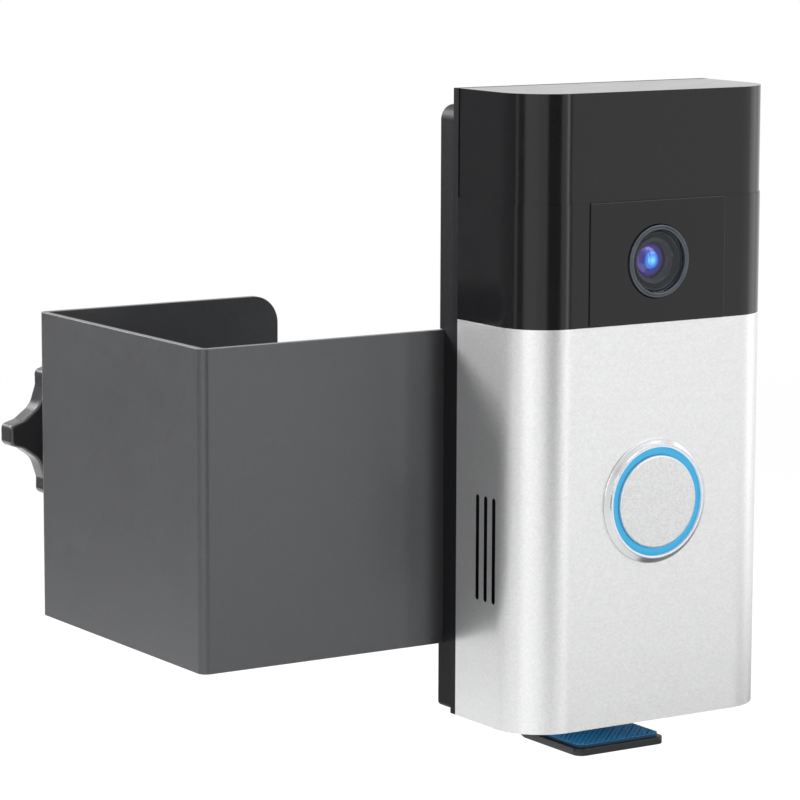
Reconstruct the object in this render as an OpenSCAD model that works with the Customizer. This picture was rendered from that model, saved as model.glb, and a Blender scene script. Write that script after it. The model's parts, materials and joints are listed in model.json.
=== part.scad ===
// Battery video doorbell carried on a no-drill door clamp.
// The door's outer face is the plane y = 0 and the door lies on its +Y side.
// X runs across the doorbell, Z runs up, and the origin is on the door face at the doorbell's middle.
// Depths (names ending in _d) are counted forward from the doorbell's back plane.

/* [Doorbell body] */
// Width of the doorbell
bell_w = 61.7; // [58:0.1:75]
// Height of the doorbell
bell_h = 126.5; // [120:0.5:156]
// Depth from the doorbell's back plane to its front face
bell_d = 26.5; // [26:0.1:33]
// Radius of the two upright front edges
corner_r = 10.5; // [7:0.5:12.5]
// Wall of the outer shells
shell_wall = 2; // [1.7:0.1:2.4]
// Thickness of the rear housing's rim that shows behind the shells
rim_t = 1.75; // [1.5:0.05:2.4]
// Height of the metal faceplate
faceplate_h = 80.65; // [78:0.05:97]
// Height of the camera section
camera_h = 24.4; // [22:0.1:30]
// How far the top cap stands back from the camera section
cap_step = 0.2; // [0.1:0.05:0.4]

/* [Camera] */
// Width of the raised camera panel
panel_w = 33; // [28:0.5:38]
// How far the camera panel stands proud of the front face
panel_proud = 0.3; // [0.2:0.05:0.6]
// Thickness of the camera panel
panel_t = 0.9; // [0.7:0.1:1.2]
// Outer radius of the ring around the lens window
lens_ring_r = 7.25; // [6.5:0.05:8.5]
// Radius of the lens window
lens_window_r = 6.25; // [5.5:0.05:6.5]
// Radius of the lens barrel
barrel_r = 4.6; // [4.2:0.1:5]

/* [Push button] */
// Height of the button's centre above the doorbell's bottom
button_rise = 44.85; // [40:0.05:52]
// Radius of the bezel where it meets the faceplate
bezel_base_r = 12.55; // [12.4:0.05:13.5]
// How far the bezel stands proud of the faceplate
bezel_h = 1.3; // [1:0.1:1.8]
// Outer radius of the light ring
light_r = 11.05; // [10.7:0.05:11.1]
// Radius of the pressed disc
cap_r = 9.3; // [8.8:0.05:9.5]
// Travel of the button
button_travel = 0.5; // [0.3:0.05:0.6]

/* [Speaker] */
// Number of speaker slots
slot_count = 3; // [1:1:3]
// Width of a speaker slot
slot_w = 1.25; // [0.8:0.05:1.6]
// Distance between slots
slot_pitch = 2.85; // [2.4:0.05:3]
// Length of a speaker slot
slot_l = 21.4; // [16:0.1:26]
// Height of the slots' middle above the doorbell's bottom
slot_rise = 35.75; // [33:0.05:44]

/* [Inside] */
// Thickness of the battery pack
battery_t = 10.2; // [8:0.1:10.2]
// Width of the battery pack
battery_w = 31; // [24:0.5:32]
// Height of the battery pack
battery_h = 60; // [48:0.5:61]
// Width of the main board
board_w = 43; // [40:0.5:44]
// Thickness of the circuit boards
board_t = 1.6; // [1:0.1:1.6]
// Running clearance between pieces that fit into each other
fit_gap = 0.1; // [0.05:0.01:0.15]

/* [Mounting tray] */
// Depth of the tray between the door face and the doorbell's back
tray_d = 4.5; // [4:0.1:6]
// Height of the tray
tray_h = 122.2; // [118:0.1:148]
// How far the tray's middle lies below the doorbell's middle
tray_drop = 1.4; // [0:0.1:2]
// Width of the wall plate inside the doorbell's back
plate_w = 43.4; // [38:0.1:44]
// Height of the wall plate
plate_h = 90; // [80:0.5:100]

/* [Door clamp] */
// Thickness of the clamp's sheet steel
strap_t = 1.5; // [1.2:0.1:1.8]
// Height of the clamp strap
strap_h = 64; // [52:0.5:77]
// How far the strap's middle lies below the doorbell's middle
strap_drop = 17.3; // [14:0.1:20]
// Distance from the doorbell's middle to the clamp's outer side
clamp_reach = 86.8; // [80:0.1:105]
// Inside depth of the clamp, for the door and the pressure plate
clamp_gap = 65; // [60:0.5:78]
// Width of the rear flange
flange_w = 57; // [48:0.5:69]
// Thickness of the door that the clamp holds at rest
door_t = 38; // [36:0.5:43]

/* [Clamp knob] */
// Distance of the knob's axis from the clamp's outer side
knob_inset = 12; // [11.5:0.1:16]
// How far the knob's axis lies above the strap's middle
knob_rise = 4.8; // [-8:0.1:8]
// Reach of the knob's lobes from its axis
knob_r = 14.4; // [13:0.1:17.3]
// Number of lobes
knob_lobes = 5; // [5:1:6]
// Nominal radius of the threaded stud
stud_r = 3; // [2.5:0.5:3.5]

/* [Guard tab] */
// Width of the guard tab under the doorbell
tab_w = 22; // [18:0.5:26.5]
// How far the tab reaches forward from the door face
tab_reach = 21.5; // [17:0.5:26]
// Height of the gap between the doorbell and the tab's pad
tab_gap = 5.75; // [4:0.05:8]
// Thickness of the tab's pad
tab_pad_t = 1; // [0.8:0.1:1.5]

/* [Hidden] */
$fn = 64;

// Length by which a cut runs past the face that it opens
bite = 1;

// Doorbell stack
half_w = bell_w / 2;
half_h = bell_h / 2;
face_in_d = bell_d - shell_wall;
pocket_d = 2.5;
floor_t = 2;
floor_d = pocket_d + floor_t;
foam_t = 0.8;
board_d = floor_d + battery_t + foam_t;
parts_d = board_d + board_t;
lip_d = 8;
lip_wall = 1.6;
lip_inset = shell_wall + fit_gap;
tongue_l = 3;
tongue_wall = 1.2;
seam_low_z = faceplate_h - half_h;
seam_high_z = seam_low_z + camera_h;

// Camera
lens_z = seam_low_z + camera_h / 2;
window_t = 1;
ring_proud = 0.5;
ring_flange_r = lens_ring_r + fit_gap + 0.9;
ring_flange_t = 0.8;
window_face_d = bell_d + panel_proud;
window_ledge_r = lens_window_r - 0.6;
barrel_gap = 0.6;
barrel_top_d = window_face_d - window_t - barrel_gap;
barrel_bore_r = barrel_r - 1;
barrel_base_w = 10;
barrel_base_h = 3;
sensor_board_w = 11;
sensor_board_t = 0.8;
sensor_chip_w = 6;
sensor_chip_t = 0.7;
sensor_d = parts_d + sensor_board_t;
lens_dome_r = 5.5;
lens_rim_t = 1;
lens_back_d = barrel_top_d - 3;
lens_centre_d = lens_back_d + lens_rim_t - sqrt(pow(lens_dome_r, 2) - pow(barrel_bore_r, 2));
led_x = 12;
led_r = 1.5;
led_h = 4;
motion_z = (seam_high_z + half_h) / 2;
motion_can_r = 4.1;
motion_can_h = 4;
motion_lens_w = 15;
motion_lens_h = 11;
motion_lens_t = 1;

// Push button
button_z = button_rise - half_h;
bezel_top_d = bell_d + bezel_h;
bezel_rim = 0.3;
bezel_in_r = light_r + bezel_rim / 2;
bezel_top_r = bezel_in_r + bezel_rim / 2;
bezel_skirt_r = bezel_in_r + 0.7;
bezel_hole_r = bezel_skirt_r + fit_gap;
bezel_barb_r = bezel_hole_r + 0.35;
bezel_barb_h = 0.8;
light_drop = 0.45;
light_top_d = bezel_top_d - light_drop;
light_back_d = face_in_d;
light_in_r = cap_r + fit_gap;
cap_proud = 0.65;
cap_top_d = light_top_d + cap_proud;
cap_wall = 1.5;
cap_flange_r = cap_r + 0.6;
cap_flange_t = 1;
cap_flange_d = light_back_d - fit_gap - cap_flange_t;
led_board_t = 1;
led_board_d = cap_flange_d - 2.9;
led_board_r = bezel_skirt_r + 0.4;
led_board_hole_r = 5;
skirt_d = led_board_d + led_board_t;
ring_led_count = 8;
ring_led_r = light_in_r + 0.6;
ring_led_w = 1.6;
ring_led_h = 0.6;
switch_w = 6;
switch_h = 3.5;
stem_r = 1.75;
stem_proud = 0.3;
stem_top_d = parts_d + switch_h + stem_proud;
stem_bottom_d = parts_d + 2.5;
stem_well_d = stem_bottom_d - 1.1;
cap_post_r = 1.6;

// Speaker
speaker_z = slot_rise - half_h;
speaker_back_d = lip_d + 0.3;
speaker_front_d = bell_d - corner_r;
speaker_mid_d = (speaker_back_d + speaker_front_d) / 2;
speaker_l = 23;
speaker_t = 4.4;
gasket_t = 0.6;
gasket_wall = 0.9;

// Boards, battery and fasteners
board_margin = 5.25;
board_low_z = board_margin - half_h;
board_high_z = half_h - board_margin;
standoff_inset = 3;
standoff_r = 2.5;
board_screw_r = 1.25;
board_screw_head_r = 2.4;
board_screw_head_h = 1.5;
board_screw_l = 7;
battery_low_z = 11.5 - half_h;
wifi_size = [11, 2.4, 11];
wifi_x = 10;
wifi_inset = 6.5;
processor_size = [13, 1.2, 13];
processor_z = (button_z + lens_z) / 2;
mic_size = [3.8, 1.1, 3];
mic_x = 12;
case_screw_x = half_w - 6.25;
case_boss_r = 2.2;
case_screw_r = 1.1;
case_head_r = 2.1;
case_head_d = 0.2;
case_seat_d = 2;
case_screw_tip_d = 12;
security_d = 10.5;
security_boss_w = 8;
security_boss_d = 14.4;
security_boss_h = 7.6;
security_head_r = 2.4;
security_head_h = 1;
security_r = 1.25;
security_l = 7.5;

// Rear terminals and charging port
terminal_board_size = [36, 1.2, 14];
terminal_z = battery_low_z + battery_h + terminal_board_size[2] / 2 + 1;
window_w = 28;
window_h = 22;
window_low_z = terminal_z - window_h / 2;
terminal_x = 9.5;
terminal_r = 1.5;
terminal_head_r = 3;
terminal_head_h = 1.6;
terminal_bush_r = 2.8;
terminal_bush_h = 3;
port_w = 7.6;
port_h = 2.8;
port_wall = 0.35;
port_back_d = pocket_d + 0.3;
port_l = 5.5;

// Tray
tray_floor_t = tray_d - strap_t;
tray_z = -tray_drop;
tray_low_z = tray_z - tray_h / 2;
tray_high_z = tray_z + tray_h / 2;
tray_wall = 2;
tray_top_r = 3;
tray_bottom_r = 1;
door_pad_gap = 0.8;
plate_t = 2.3;
plate_gap = 0.3;
plate_r = 3;
plate_screw_x = plate_w / 2 - 4.7;
plate_screw_z = plate_h / 2 - 7;
plate_screw_r = 1.5;
plate_head_r = 2.75;
plate_head_h = 1.4;

// Clamp
strap_low_z = -strap_drop - strap_h / 2;
strap_high_z = strap_h / 2 - strap_drop;
strap_end_x = half_w - tray_wall - 0.85;
bend_in_r = 0.4;
bend_out_r = bend_in_r + strap_t;
clamp_left_x = -clamp_reach;
flange_back_y = clamp_gap + strap_t;
flange_end_x = clamp_left_x + flange_w;
flange_r = 6;
rivet_x = strap_end_x - 3.5;
rivet_inset = 5;
rivet_r = 1.5;
rivet_head_r = 2.75;
rivet_head_h = 1;
rivet_tail_r = 2.5;
rivet_tail_h = 0.7;

// Knob, stud and pressure plate
knob_x = clamp_left_x + knob_inset;
knob_z = knob_rise - strap_drop;
thread_gap = 0.05;
stud_hole_r = stud_r + 0.3;
nut_r = 5.77;
nut_t = 4.5;
knob_hub_gap = 5.5;
knob_hub_y = flange_back_y + knob_hub_gap;
knob_hub_r = 6.5;
knob_hub_t = 3;
knob_star_y = knob_hub_y + knob_hub_t;
knob_star_t = 5;
knob_body_r = 11;
knob_lobe_r = 2.1;
pad_r = 9;
pad_t = 1.5;
pressure_y = door_t + pad_t;
pressure_t = 3.5;
cavity_floor = 1.5;
collar_r = 4;
collar_t = 1.8;
cavity_r = collar_r + fit_gap;
cavity_y = pressure_y + cavity_floor;
collar_y = cavity_y + fit_gap;
swivel_cap_r = 6;
swivel_cap_y = pressure_y + pressure_t;
swivel_cap_t = 2;
stud_tip_y = knob_star_y + 2;

// Guard tab
tab_pad_z = -half_h - tab_gap;
tab_top_z = tab_pad_z - tab_pad_t;
tab_bottom_z = tab_top_z - strap_t;
tab_leg_top_z = strap_low_z - 1.2;
tab_bend_in_r = 1;
tab_bend_out_r = tab_bend_in_r + strap_t;
tab_corner_r = 2;
tab_pad_inset = 0.8;
tab_rivet_x = tab_w / 2 - 5;
tab_rivet_z = (tab_leg_top_z + tray_low_z + tray_wall) / 2;

// Y of a depth counted forward from the doorbell's back plane
function depth_y(d) = -tray_d - d;

// Block between two widths, two depths and two heights
module slab(x0, x1, d0, d1, z0, z1) {
    translate([x0, depth_y(d1), z0]) cube([x1 - x0, d1 - d0, z1 - z0]);
}

// Block centred on a width and a height
module block(x, z, d0, size) {
    slab(x - size[0] / 2, x + size[0] / 2, d0, d0 + size[1], z - size[2] / 2, z + size[2] / 2);
}

// Cylinder that runs forward between two depths
module post(x, z, d0, d1, r) {
    translate([x, depth_y(d0), z]) rotate([90, 0, 0]) cylinder(h = d1 - d0, r = r);
}

// Tube that runs forward between two depths
module tube(x, z, d0, d1, r_out, r_in) {
    difference() {
        post(x, z, d0, d1, r_out);
        post(x, z, d0 - bite, d1 + bite, r_in);
    }
}

// Cylinder along +Y that starts at a given y on the knob's axis
module shaft(y, length, r) {
    translate([knob_x, y, knob_z]) rotate([-90, 0, 0]) cylinder(h = length, r = r);
}

// Rectangle with four round corners
module rounded(x0, x1, z0, z1, r) {
    translate([x0 + r, z0]) square([x1 - x0 - 2 * r, z1 - z0]);
    translate([x0, z0 + r]) square([x1 - x0, z1 - z0 - 2 * r]);
    for (x = [x0 + r, x1 - r], z = [z0 + r, z1 - r]) {
        translate([x, z]) circle(r);
    }
}

// Outline in X and Z that becomes a plate from y0 to y0 + t
module upright(y0, t) {
    translate([0, y0 + t, 0]) rotate([90, 0, 0]) linear_extrude(t) children();
}

// Cross-section of the doorbell, moved in from its outside by inset on the sides and by front_inset in front
module bell_section(inset, back_d, front_d) {
    r = corner_r - inset;
    half = half_w - inset;
    translate([-half, depth_y(front_d) + r]) square([2 * half, front_d - r - back_d]);
    translate([r - half, depth_y(front_d)]) square([2 * (half - r), front_d - back_d]);
    for (side = [-1, 1]) {
        translate([side * (half - r), depth_y(front_d) + r]) circle(r);
    }
}

// Solid length of the doorbell's cross-section
module bell_block(inset, back_d, front_d, z0, z1) {
    translate([0, 0, z0]) linear_extrude(z1 - z0) bell_section(inset, back_d, front_d);
}

// Rear housing's screw positions
module case_screw_places() {
    for (x = [-case_screw_x, case_screw_x], z = [lens_z, motion_z]) {
        translate([x, 0, z]) children();
    }
}

// Board standoff positions
module standoff_places() {
    for (side = [-1, 1], z = [board_low_z + standoff_inset, board_high_z - standoff_inset]) {
        translate([side * (board_w / 2 - standoff_inset), 0, z]) children();
    }
}

// Rivets that join the tray to the strap
module rivet_places() {
    for (x = [-rivet_x, rivet_x], z = [strap_low_z + rivet_inset, strap_high_z - rivet_inset]) {
        translate([x, 0, z]) children();
    }
}

// Rivets that join the tray to the guard tab
module tab_rivet_places() {
    for (x = [-tab_rivet_x, tab_rivet_x]) {
        translate([x, 0, tab_rivet_z]) children();
    }
}

// Rivet with flush heads, also used to cut its own seat
module rivet() {
    post(0, 0, -rivet_head_h, 0, rivet_head_r);
    post(0, 0, -tray_d, 0, rivet_r);
    post(0, 0, -tray_d, rivet_tail_h - tray_d, rivet_tail_r);
}

// Screws that hold the wall plate to the tray
module plate_screw_places() {
    for (x = [-plate_screw_x, plate_screw_x], z = [-plate_screw_z, plate_screw_z]) {
        translate([x, 0, z]) children();
    }
}

module clamp_bracket() {
    flange_start_x = clamp_left_x + flange_w / 2;
    color("dimgray") difference() {
        union() {
            translate([0, 0, strap_low_z]) linear_extrude(strap_h) clamp_profile(flange_start_x);
            upright(clamp_gap, strap_t) {
                translate([flange_start_x - bite, strap_low_z]) square([flange_w / 4, strap_h]);
                rounded(flange_start_x - bite, flange_end_x, strap_low_z, strap_high_z, flange_r);
            }
        }
        rivet_places() rivet();
        shaft(clamp_gap - bite, strap_t + 2 * bite, stud_hole_r);
    }
}

// Bent sheet seen from above: front plate, side plate and the start of the rear flange
module clamp_profile(flange_stop_x) {
    difference() {
        bent_outline(clamp_left_x, -strap_t, flange_back_y, bend_out_r, strap_end_x);
        bent_outline(clamp_left_x + strap_t, 0, clamp_gap, bend_in_r, strap_end_x + bite);
        translate([flange_stop_x, bite]) square([strap_end_x - flange_stop_x + bite, flange_back_y]);
    }
}

// Rectangle whose two left corners are round
module bent_outline(x0, y0, y1, r, x1) {
    translate([x0 + r, y0]) square([x1 - x0 - r, y1 - y0]);
    translate([x0, y0 + r]) square([x1 - x0, y1 - y0 - 2 * r]);
    for (y = [y0 + r, y1 - r]) {
        translate([x0 + r, y]) circle(r);
    }
}

module weld_nut() {
    color("silver") difference() {
        translate([knob_x, clamp_gap - nut_t, knob_z]) rotate([-90, 0, 0]) cylinder(h = nut_t, r = nut_r, $fn = 6);
        shaft(clamp_gap - nut_t - bite, nut_t + 2 * bite, stud_r + thread_gap);
    }
}

// Tray's outline, moved in by inset
module tray_outline(inset) {
    x = half_w - inset;
    low = tray_low_z + inset;
    high = tray_high_z - inset;
    rounded(-x, x, low, tray_z + tray_wall, tray_bottom_r);
    rounded(-x, x, tray_z - tray_wall, high, max(tray_top_r - inset, tray_bottom_r));
}

module mount_tray() {
    color([0.09, 0.09, 0.1]) difference() {
        upright(-tray_d, tray_d) tray_outline(0);
        upright(-strap_t, strap_t + bite) tray_outline(tray_wall);
        translate([-half_w - bite, -strap_t, strap_low_z - fit_gap])
            cube([tray_wall + 2 * bite, strap_t + bite, strap_h + 2 * fit_gap]);
        translate([-tab_w / 2 - fit_gap, -strap_t, tray_low_z - bite])
            cube([tab_w + 2 * fit_gap, strap_t + bite, tray_wall + 2 * bite]);
        rivet_places() rivet();
        tab_rivet_places() rivet();
        plate_screw_places() post(0, 0, -tray_floor_t - bite, bite, plate_screw_r);
    }
}

module tray_rivets() {
    color("gray") rivet_places() rivet();
}

module tab_rivets() {
    color("gray") tab_rivet_places() rivet();
}

module upper_door_pad() {
    x = half_w - tray_wall - door_pad_gap;
    color([0.12, 0.12, 0.13]) upright(-strap_t, strap_t)
        rounded(-x, x, strap_high_z + door_pad_gap, tray_high_z - tray_wall - door_pad_gap, tray_bottom_r);
}

module lower_door_pads() {
    x = half_w - tray_wall - door_pad_gap;
    inner_x = tab_w / 2 + door_pad_gap;
    low = tray_low_z + tray_wall + door_pad_gap;
    high = strap_low_z - door_pad_gap;
    color([0.12, 0.12, 0.13]) upright(-strap_t, strap_t) {
        rounded(-x, -inner_x, low, high, tray_bottom_r);
        rounded(inner_x, x, low, high, tray_bottom_r);
    }
}

module guard_tab() {
    bend_z = tab_bottom_z + tab_bend_out_r;
    color([0.1, 0.1, 0.11]) difference() {
        union() {
            translate([-tab_w / 2, -strap_t, bend_z]) cube([tab_w, strap_t, tab_leg_top_z - bend_z]);
            intersection() {
                translate([-tab_w / 2, -tab_bend_out_r, bend_z]) rotate([0, 90, 0]) difference() {
                    cylinder(h = tab_w, r = tab_bend_out_r);
                    translate([0, 0, -bite]) cylinder(h = tab_w + 2 * bite, r = tab_bend_in_r);
                }
                translate([-tab_w / 2, -tab_bend_out_r, tab_bottom_z]) cube([tab_w, tab_bend_out_r, tab_bend_out_r]);
            }
            translate([0, 0, tab_bottom_z]) linear_extrude(strap_t) tab_outline(0, tab_bend_out_r);
        }
        tab_rivet_places() rivet();
    }
}

// Flat of the guard tab seen from above, with round front corners
module tab_outline(inset, back) {
    x = tab_w / 2 - inset;
    front_y = inset - tab_reach;
    rounded(-x, x, front_y, -back - tab_corner_r, tab_corner_r);
    translate([-x, front_y + 2 * tab_corner_r]) square([2 * x, -back - front_y - 2 * tab_corner_r]);
}

module tab_pad() {
    color([0.12, 0.4, 0.6]) translate([0, 0, tab_top_z]) linear_extrude(tab_pad_t)
        tab_outline(tab_pad_inset, tab_bend_out_r + tab_pad_inset);
}

module pressure_plate() {
    color([0.2, 0.2, 0.21]) difference() {
        shaft(pressure_y, pressure_t, pad_r);
        shaft(cavity_y, pressure_t, cavity_r);
    }
}

module pressure_pad() {
    color([0.08, 0.08, 0.08]) shaft(door_t, pad_t, pad_r);
}

module swivel_cap() {
    color("silver") difference() {
        shaft(swivel_cap_y, swivel_cap_t, swivel_cap_r);
        shaft(swivel_cap_y - bite, swivel_cap_t + 2 * bite, stud_r + thread_gap);
    }
}

module knob_stud() {
    color("silver") {
        shaft(collar_y, stud_tip_y - collar_y, stud_r);
        shaft(collar_y, collar_t, collar_r);
    }
}

module star_knob() {
    color([0.1, 0.1, 0.1]) difference() {
        union() {
            shaft(knob_hub_y, knob_hub_t, knob_hub_r);
            translate([knob_x, 0, knob_z]) upright(knob_star_y, knob_star_t) {
                circle(knob_body_r - knob_lobe_r);
                for (i = [0 : knob_lobes - 1]) {
                    rotate(180 + i * 360 / knob_lobes) {
                        translate([0, -knob_lobe_r]) square([knob_r - knob_lobe_r, 2 * knob_lobe_r]);
                        translate([knob_r - knob_lobe_r, 0]) circle(knob_lobe_r);
                    }
                }
            }
        }
        shaft(knob_hub_y - bite, stud_tip_y - knob_hub_y + bite, stud_r);
    }
}

module wall_plate() {
    half_plate = plate_w / 2;
    color([0.15, 0.15, 0.16]) difference() {
        upright(depth_y(plate_t), plate_t) rounded(-half_plate, half_plate, -plate_h / 2, plate_h / 2, plate_r);
        slab(-window_w / 2, window_w / 2, -bite, plate_t + bite, window_low_z, window_low_z + window_h);
        plate_screw_places() plate_screw();
    }
}

// Wall plate's screw, also used to cut its own seat in the plate
module plate_screw() {
    post(0, 0, plate_t - plate_head_h, plate_t, plate_head_r);
    post(0, 0, -tray_floor_t, plate_t, plate_screw_r);
}

module plate_screws() {
    color("silver") plate_screw_places() plate_screw();
}

module rear_housing() {
    color([0.07, 0.07, 0.08]) difference() {
        union() {
            slab(-half_w, half_w, 0, rim_t, -half_h, half_h);
            housing_lip(lip_inset, 0, lip_d);
            slab(-security_boss_w / 2, security_boss_w / 2, 0, security_boss_d,
                 lip_inset - half_h, lip_inset - half_h + security_boss_h);
            standoff_places() post(0, 0, floor_d - bite, board_d, standoff_r);
        }
        difference() {
            housing_lip(lip_inset + lip_wall, floor_d, lip_d + bite);
            standoff_places() post(0, 0, 0, board_d, standoff_r);
            slab(-security_boss_w / 2, security_boss_w / 2, 0, security_boss_d, -half_h,
                 lip_inset - half_h + security_boss_h);
        }
        slab(-plate_w / 2 - plate_gap, plate_w / 2 + plate_gap, -bite, pocket_d,
             -plate_h / 2 - plate_gap, plate_h / 2 + plate_gap);
        standoff_places() post(0, 0, parts_d - board_screw_l, board_d + bite, board_screw_r);
        case_screw_places() case_screw(bite);
        for (x = [-terminal_x, terminal_x]) {
            post(x, terminal_z, pocket_d - bite, floor_d + bite, terminal_r);
        }
        block(0, terminal_z, pocket_d - bite, [port_w + 2 * fit_gap, floor_t + 2 * bite, port_h + 2 * fit_gap]);
        security_shank();
    }
}

// Rectangular block inside the shells, moved in by inset
module housing_lip(inset, d0, d1) {
    slab(inset - half_w, half_w - inset, d0, d1, inset - half_h, half_h - inset);
}

// Screw from the back of the rear housing into a boss in front of it
module case_screw(head_room) {
    post(0, 0, case_head_d - head_room, case_seat_d, case_head_r);
    post(0, 0, case_head_d, case_screw_tip_d, case_screw_r);
}

// Shank of the security screw that runs up from below
module security_shank() {
    translate([0, depth_y(security_d), security_head_h - half_h]) cylinder(h = security_l, r = security_r);
}

module faceplate() {
    color([0.78, 0.78, 0.79]) difference() {
        bell_block(0, rim_t, bell_d, -half_h, seam_low_z);
        bell_block(shell_wall, rim_t - bite, face_in_d, shell_wall - half_h, seam_low_z + bite);
        post(0, button_z, face_in_d - bite, bell_d + bite, bezel_hole_r);
        for (i = [0 : slot_count - 1]) {
            speaker_slot(speaker_mid_d + (i - (slot_count - 1) / 2) * slot_pitch);
        }
        security_shank();
        security_head(bite);
    }
}

// Slot with round ends, cut across the left side
module speaker_slot(d) {
    x0 = -half_w - bite;
    depth = shell_wall + 2 * bite;
    end = (slot_l - slot_w) / 2;
    slab(x0, x0 + depth, d - slot_w / 2, d + slot_w / 2, speaker_z - end, speaker_z + end);
    for (z = [speaker_z - end, speaker_z + end]) {
        translate([x0, depth_y(d), z]) rotate([0, 90, 0]) cylinder(h = depth, r = slot_w / 2);
    }
}

module security_head(head_room) {
    translate([0, depth_y(security_d), -half_h - head_room])
        cylinder(h = security_head_h + head_room, r = security_head_r);
}

module camera_housing() {
    tongue_inset = shell_wall + fit_gap;
    tongue_front_d = face_in_d - fit_gap;
    color([0.05, 0.05, 0.055]) difference() {
        union() {
            difference() {
                bell_block(0, rim_t, bell_d, seam_low_z, seam_high_z);
                bell_block(shell_wall, rim_t - bite, face_in_d, seam_low_z - bite, seam_high_z + bite);
            }
            difference() {
                bell_block(tongue_inset, lip_d + fit_gap, tongue_front_d, seam_low_z - tongue_l,
                           seam_high_z + tongue_l);
                bell_block(tongue_inset + tongue_wall, rim_t, tongue_front_d - tongue_wall,
                           seam_low_z - tongue_l - bite, seam_high_z + tongue_l + bite);
            }
            tongue_root();
            case_bosses(lens_z);
        }
        slab(-panel_w / 2, panel_w / 2, window_face_d - panel_t, bell_d + bite, seam_low_z - bite, seam_high_z + bite);
        post(0, lens_z, lip_d, bell_d + bite, lens_ring_r + fit_gap);
        post(0, lens_z, lip_d, face_in_d, ring_flange_r + fit_gap);
        case_screw_places() case_screw(0);
    }
}

// Band that carries the camera housing's two tongues on its inner wall
module tongue_root() {
    difference() {
        bell_block(shell_wall - fit_gap, lip_d + fit_gap, face_in_d + fit_gap, seam_low_z, seam_high_z);
        bell_block(shell_wall + fit_gap + tongue_wall, rim_t, face_in_d - fit_gap - tongue_wall,
                   seam_low_z - bite, seam_high_z + bite);
    }
}

// Pair of screw bosses that run from the front wall back to the rear housing's floor
module case_bosses(z) {
    intersection() {
        for (x = [-case_screw_x, case_screw_x]) {
            tube(x, z, floor_d, bell_d, case_boss_r, case_screw_r);
        }
        bell_block(shell_wall / 2, floor_d, bell_d - shell_wall / 2, -half_h, half_h);
    }
}

module top_cap() {
    color([0.05, 0.05, 0.055]) difference() {
        union() {
            difference() {
                bell_block(cap_step, rim_t, bell_d - cap_step, seam_high_z, half_h);
                bell_block(shell_wall, rim_t - bite, face_in_d, seam_high_z - bite, half_h - shell_wall);
            }
            case_bosses(motion_z);
        }
        case_screw_places() case_screw(0);
    }
}

module camera_panel() {
    color([0.03, 0.03, 0.035]) difference() {
        slab(-panel_w / 2, panel_w / 2, window_face_d - panel_t, window_face_d, seam_low_z, seam_high_z);
        post(0, lens_z, lip_d, window_face_d + bite, lens_ring_r + fit_gap);
    }
}

module lens_ring() {
    seat_d = window_face_d - window_t;
    color([0.12, 0.12, 0.13]) difference() {
        union() {
            post(0, lens_z, face_in_d - ring_flange_t, face_in_d, ring_flange_r);
            post(0, lens_z, face_in_d - ring_flange_t, window_face_d + ring_proud, lens_ring_r);
        }
        post(0, lens_z, lip_d, window_face_d + bite, window_ledge_r);
        post(0, lens_z, seat_d, window_face_d + bite, lens_window_r);
    }
}

module lens_window() {
    color([0.1, 0.1, 0.2]) post(0, lens_z, window_face_d - window_t, window_face_d, lens_window_r);
}

module lens_barrel() {
    base_top_d = sensor_d + barrel_base_h;
    color([0.06, 0.06, 0.06]) difference() {
        union() {
            block(0, lens_z, sensor_d, [barrel_base_w, barrel_base_h, barrel_base_w]);
            post(0, lens_z, base_top_d - bite, barrel_top_d, barrel_r);
        }
        block(0, lens_z, sensor_d - bite,
              [sensor_chip_w + bite, bite + sensor_chip_t + fit_gap, sensor_chip_w + bite]);
        post(0, lens_z, sensor_d + sensor_chip_t, barrel_top_d + bite, sensor_chip_w / 2 - fit_gap);
        post(0, lens_z, lens_back_d, barrel_top_d + bite, barrel_bore_r);
    }
}

module front_lens() {
    color([0.2, 0.3, 0.7]) intersection() {
        post(0, lens_z, lens_back_d, barrel_top_d, barrel_bore_r);
        translate([0, depth_y(lens_centre_d), lens_z]) sphere(lens_dome_r);
    }
}

module image_sensor() {
    color([0.1, 0.3, 0.15]) {
        block(0, lens_z, parts_d, [sensor_board_w, sensor_board_t, sensor_board_w]);
        block(0, lens_z, sensor_d, [sensor_chip_w, sensor_chip_t, sensor_chip_w]);
    }
}

module infrared_leds() {
    color([0.3, 0.2, 0.35]) for (x = [-led_x, led_x]) {
        post(x, lens_z, parts_d, parts_d + led_h, led_r);
        translate([x, depth_y(parts_d + led_h), lens_z]) sphere(led_r);
    }
}

module motion_sensor() {
    color("silver") post(0, motion_z, parts_d, parts_d + motion_can_h, motion_can_r);
}

module motion_lens() {
    color([0.85, 0.85, 0.85])
        block(0, motion_z, face_in_d - motion_lens_t, [motion_lens_w, motion_lens_t, motion_lens_h]);
}

module main_board() {
    color([0.05, 0.3, 0.15]) difference() {
        slab(-board_w / 2, board_w / 2, board_d, parts_d, board_low_z, board_high_z);
        standoff_places() post(0, 0, board_d - bite, parts_d + bite, board_screw_r);
    }
}

module board_screws() {
    color("silver") standoff_places() {
        post(0, 0, parts_d, parts_d + board_screw_head_h, board_screw_head_r);
        post(0, 0, parts_d - board_screw_l, parts_d, board_screw_r);
    }
}

module wifi_module() {
    color("silver") block(wifi_x, board_high_z - wifi_inset, parts_d, wifi_size);
}

module processor() {
    color([0.1, 0.1, 0.1]) block(0, processor_z, parts_d, processor_size);
}

module microphone() {
    color("gold") block(mic_x, board_low_z + mic_size[2], parts_d, mic_size);
}

module battery() {
    color([0.2, 0.35, 0.65])
        slab(-battery_w / 2, battery_w / 2, floor_d, floor_d + battery_t, battery_low_z, battery_low_z + battery_h);
}

module battery_foam() {
    color([0.3, 0.3, 0.3]) slab(-battery_w / 2, battery_w / 2, board_d - foam_t, board_d,
                                battery_low_z, battery_low_z + battery_h);
}

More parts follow.
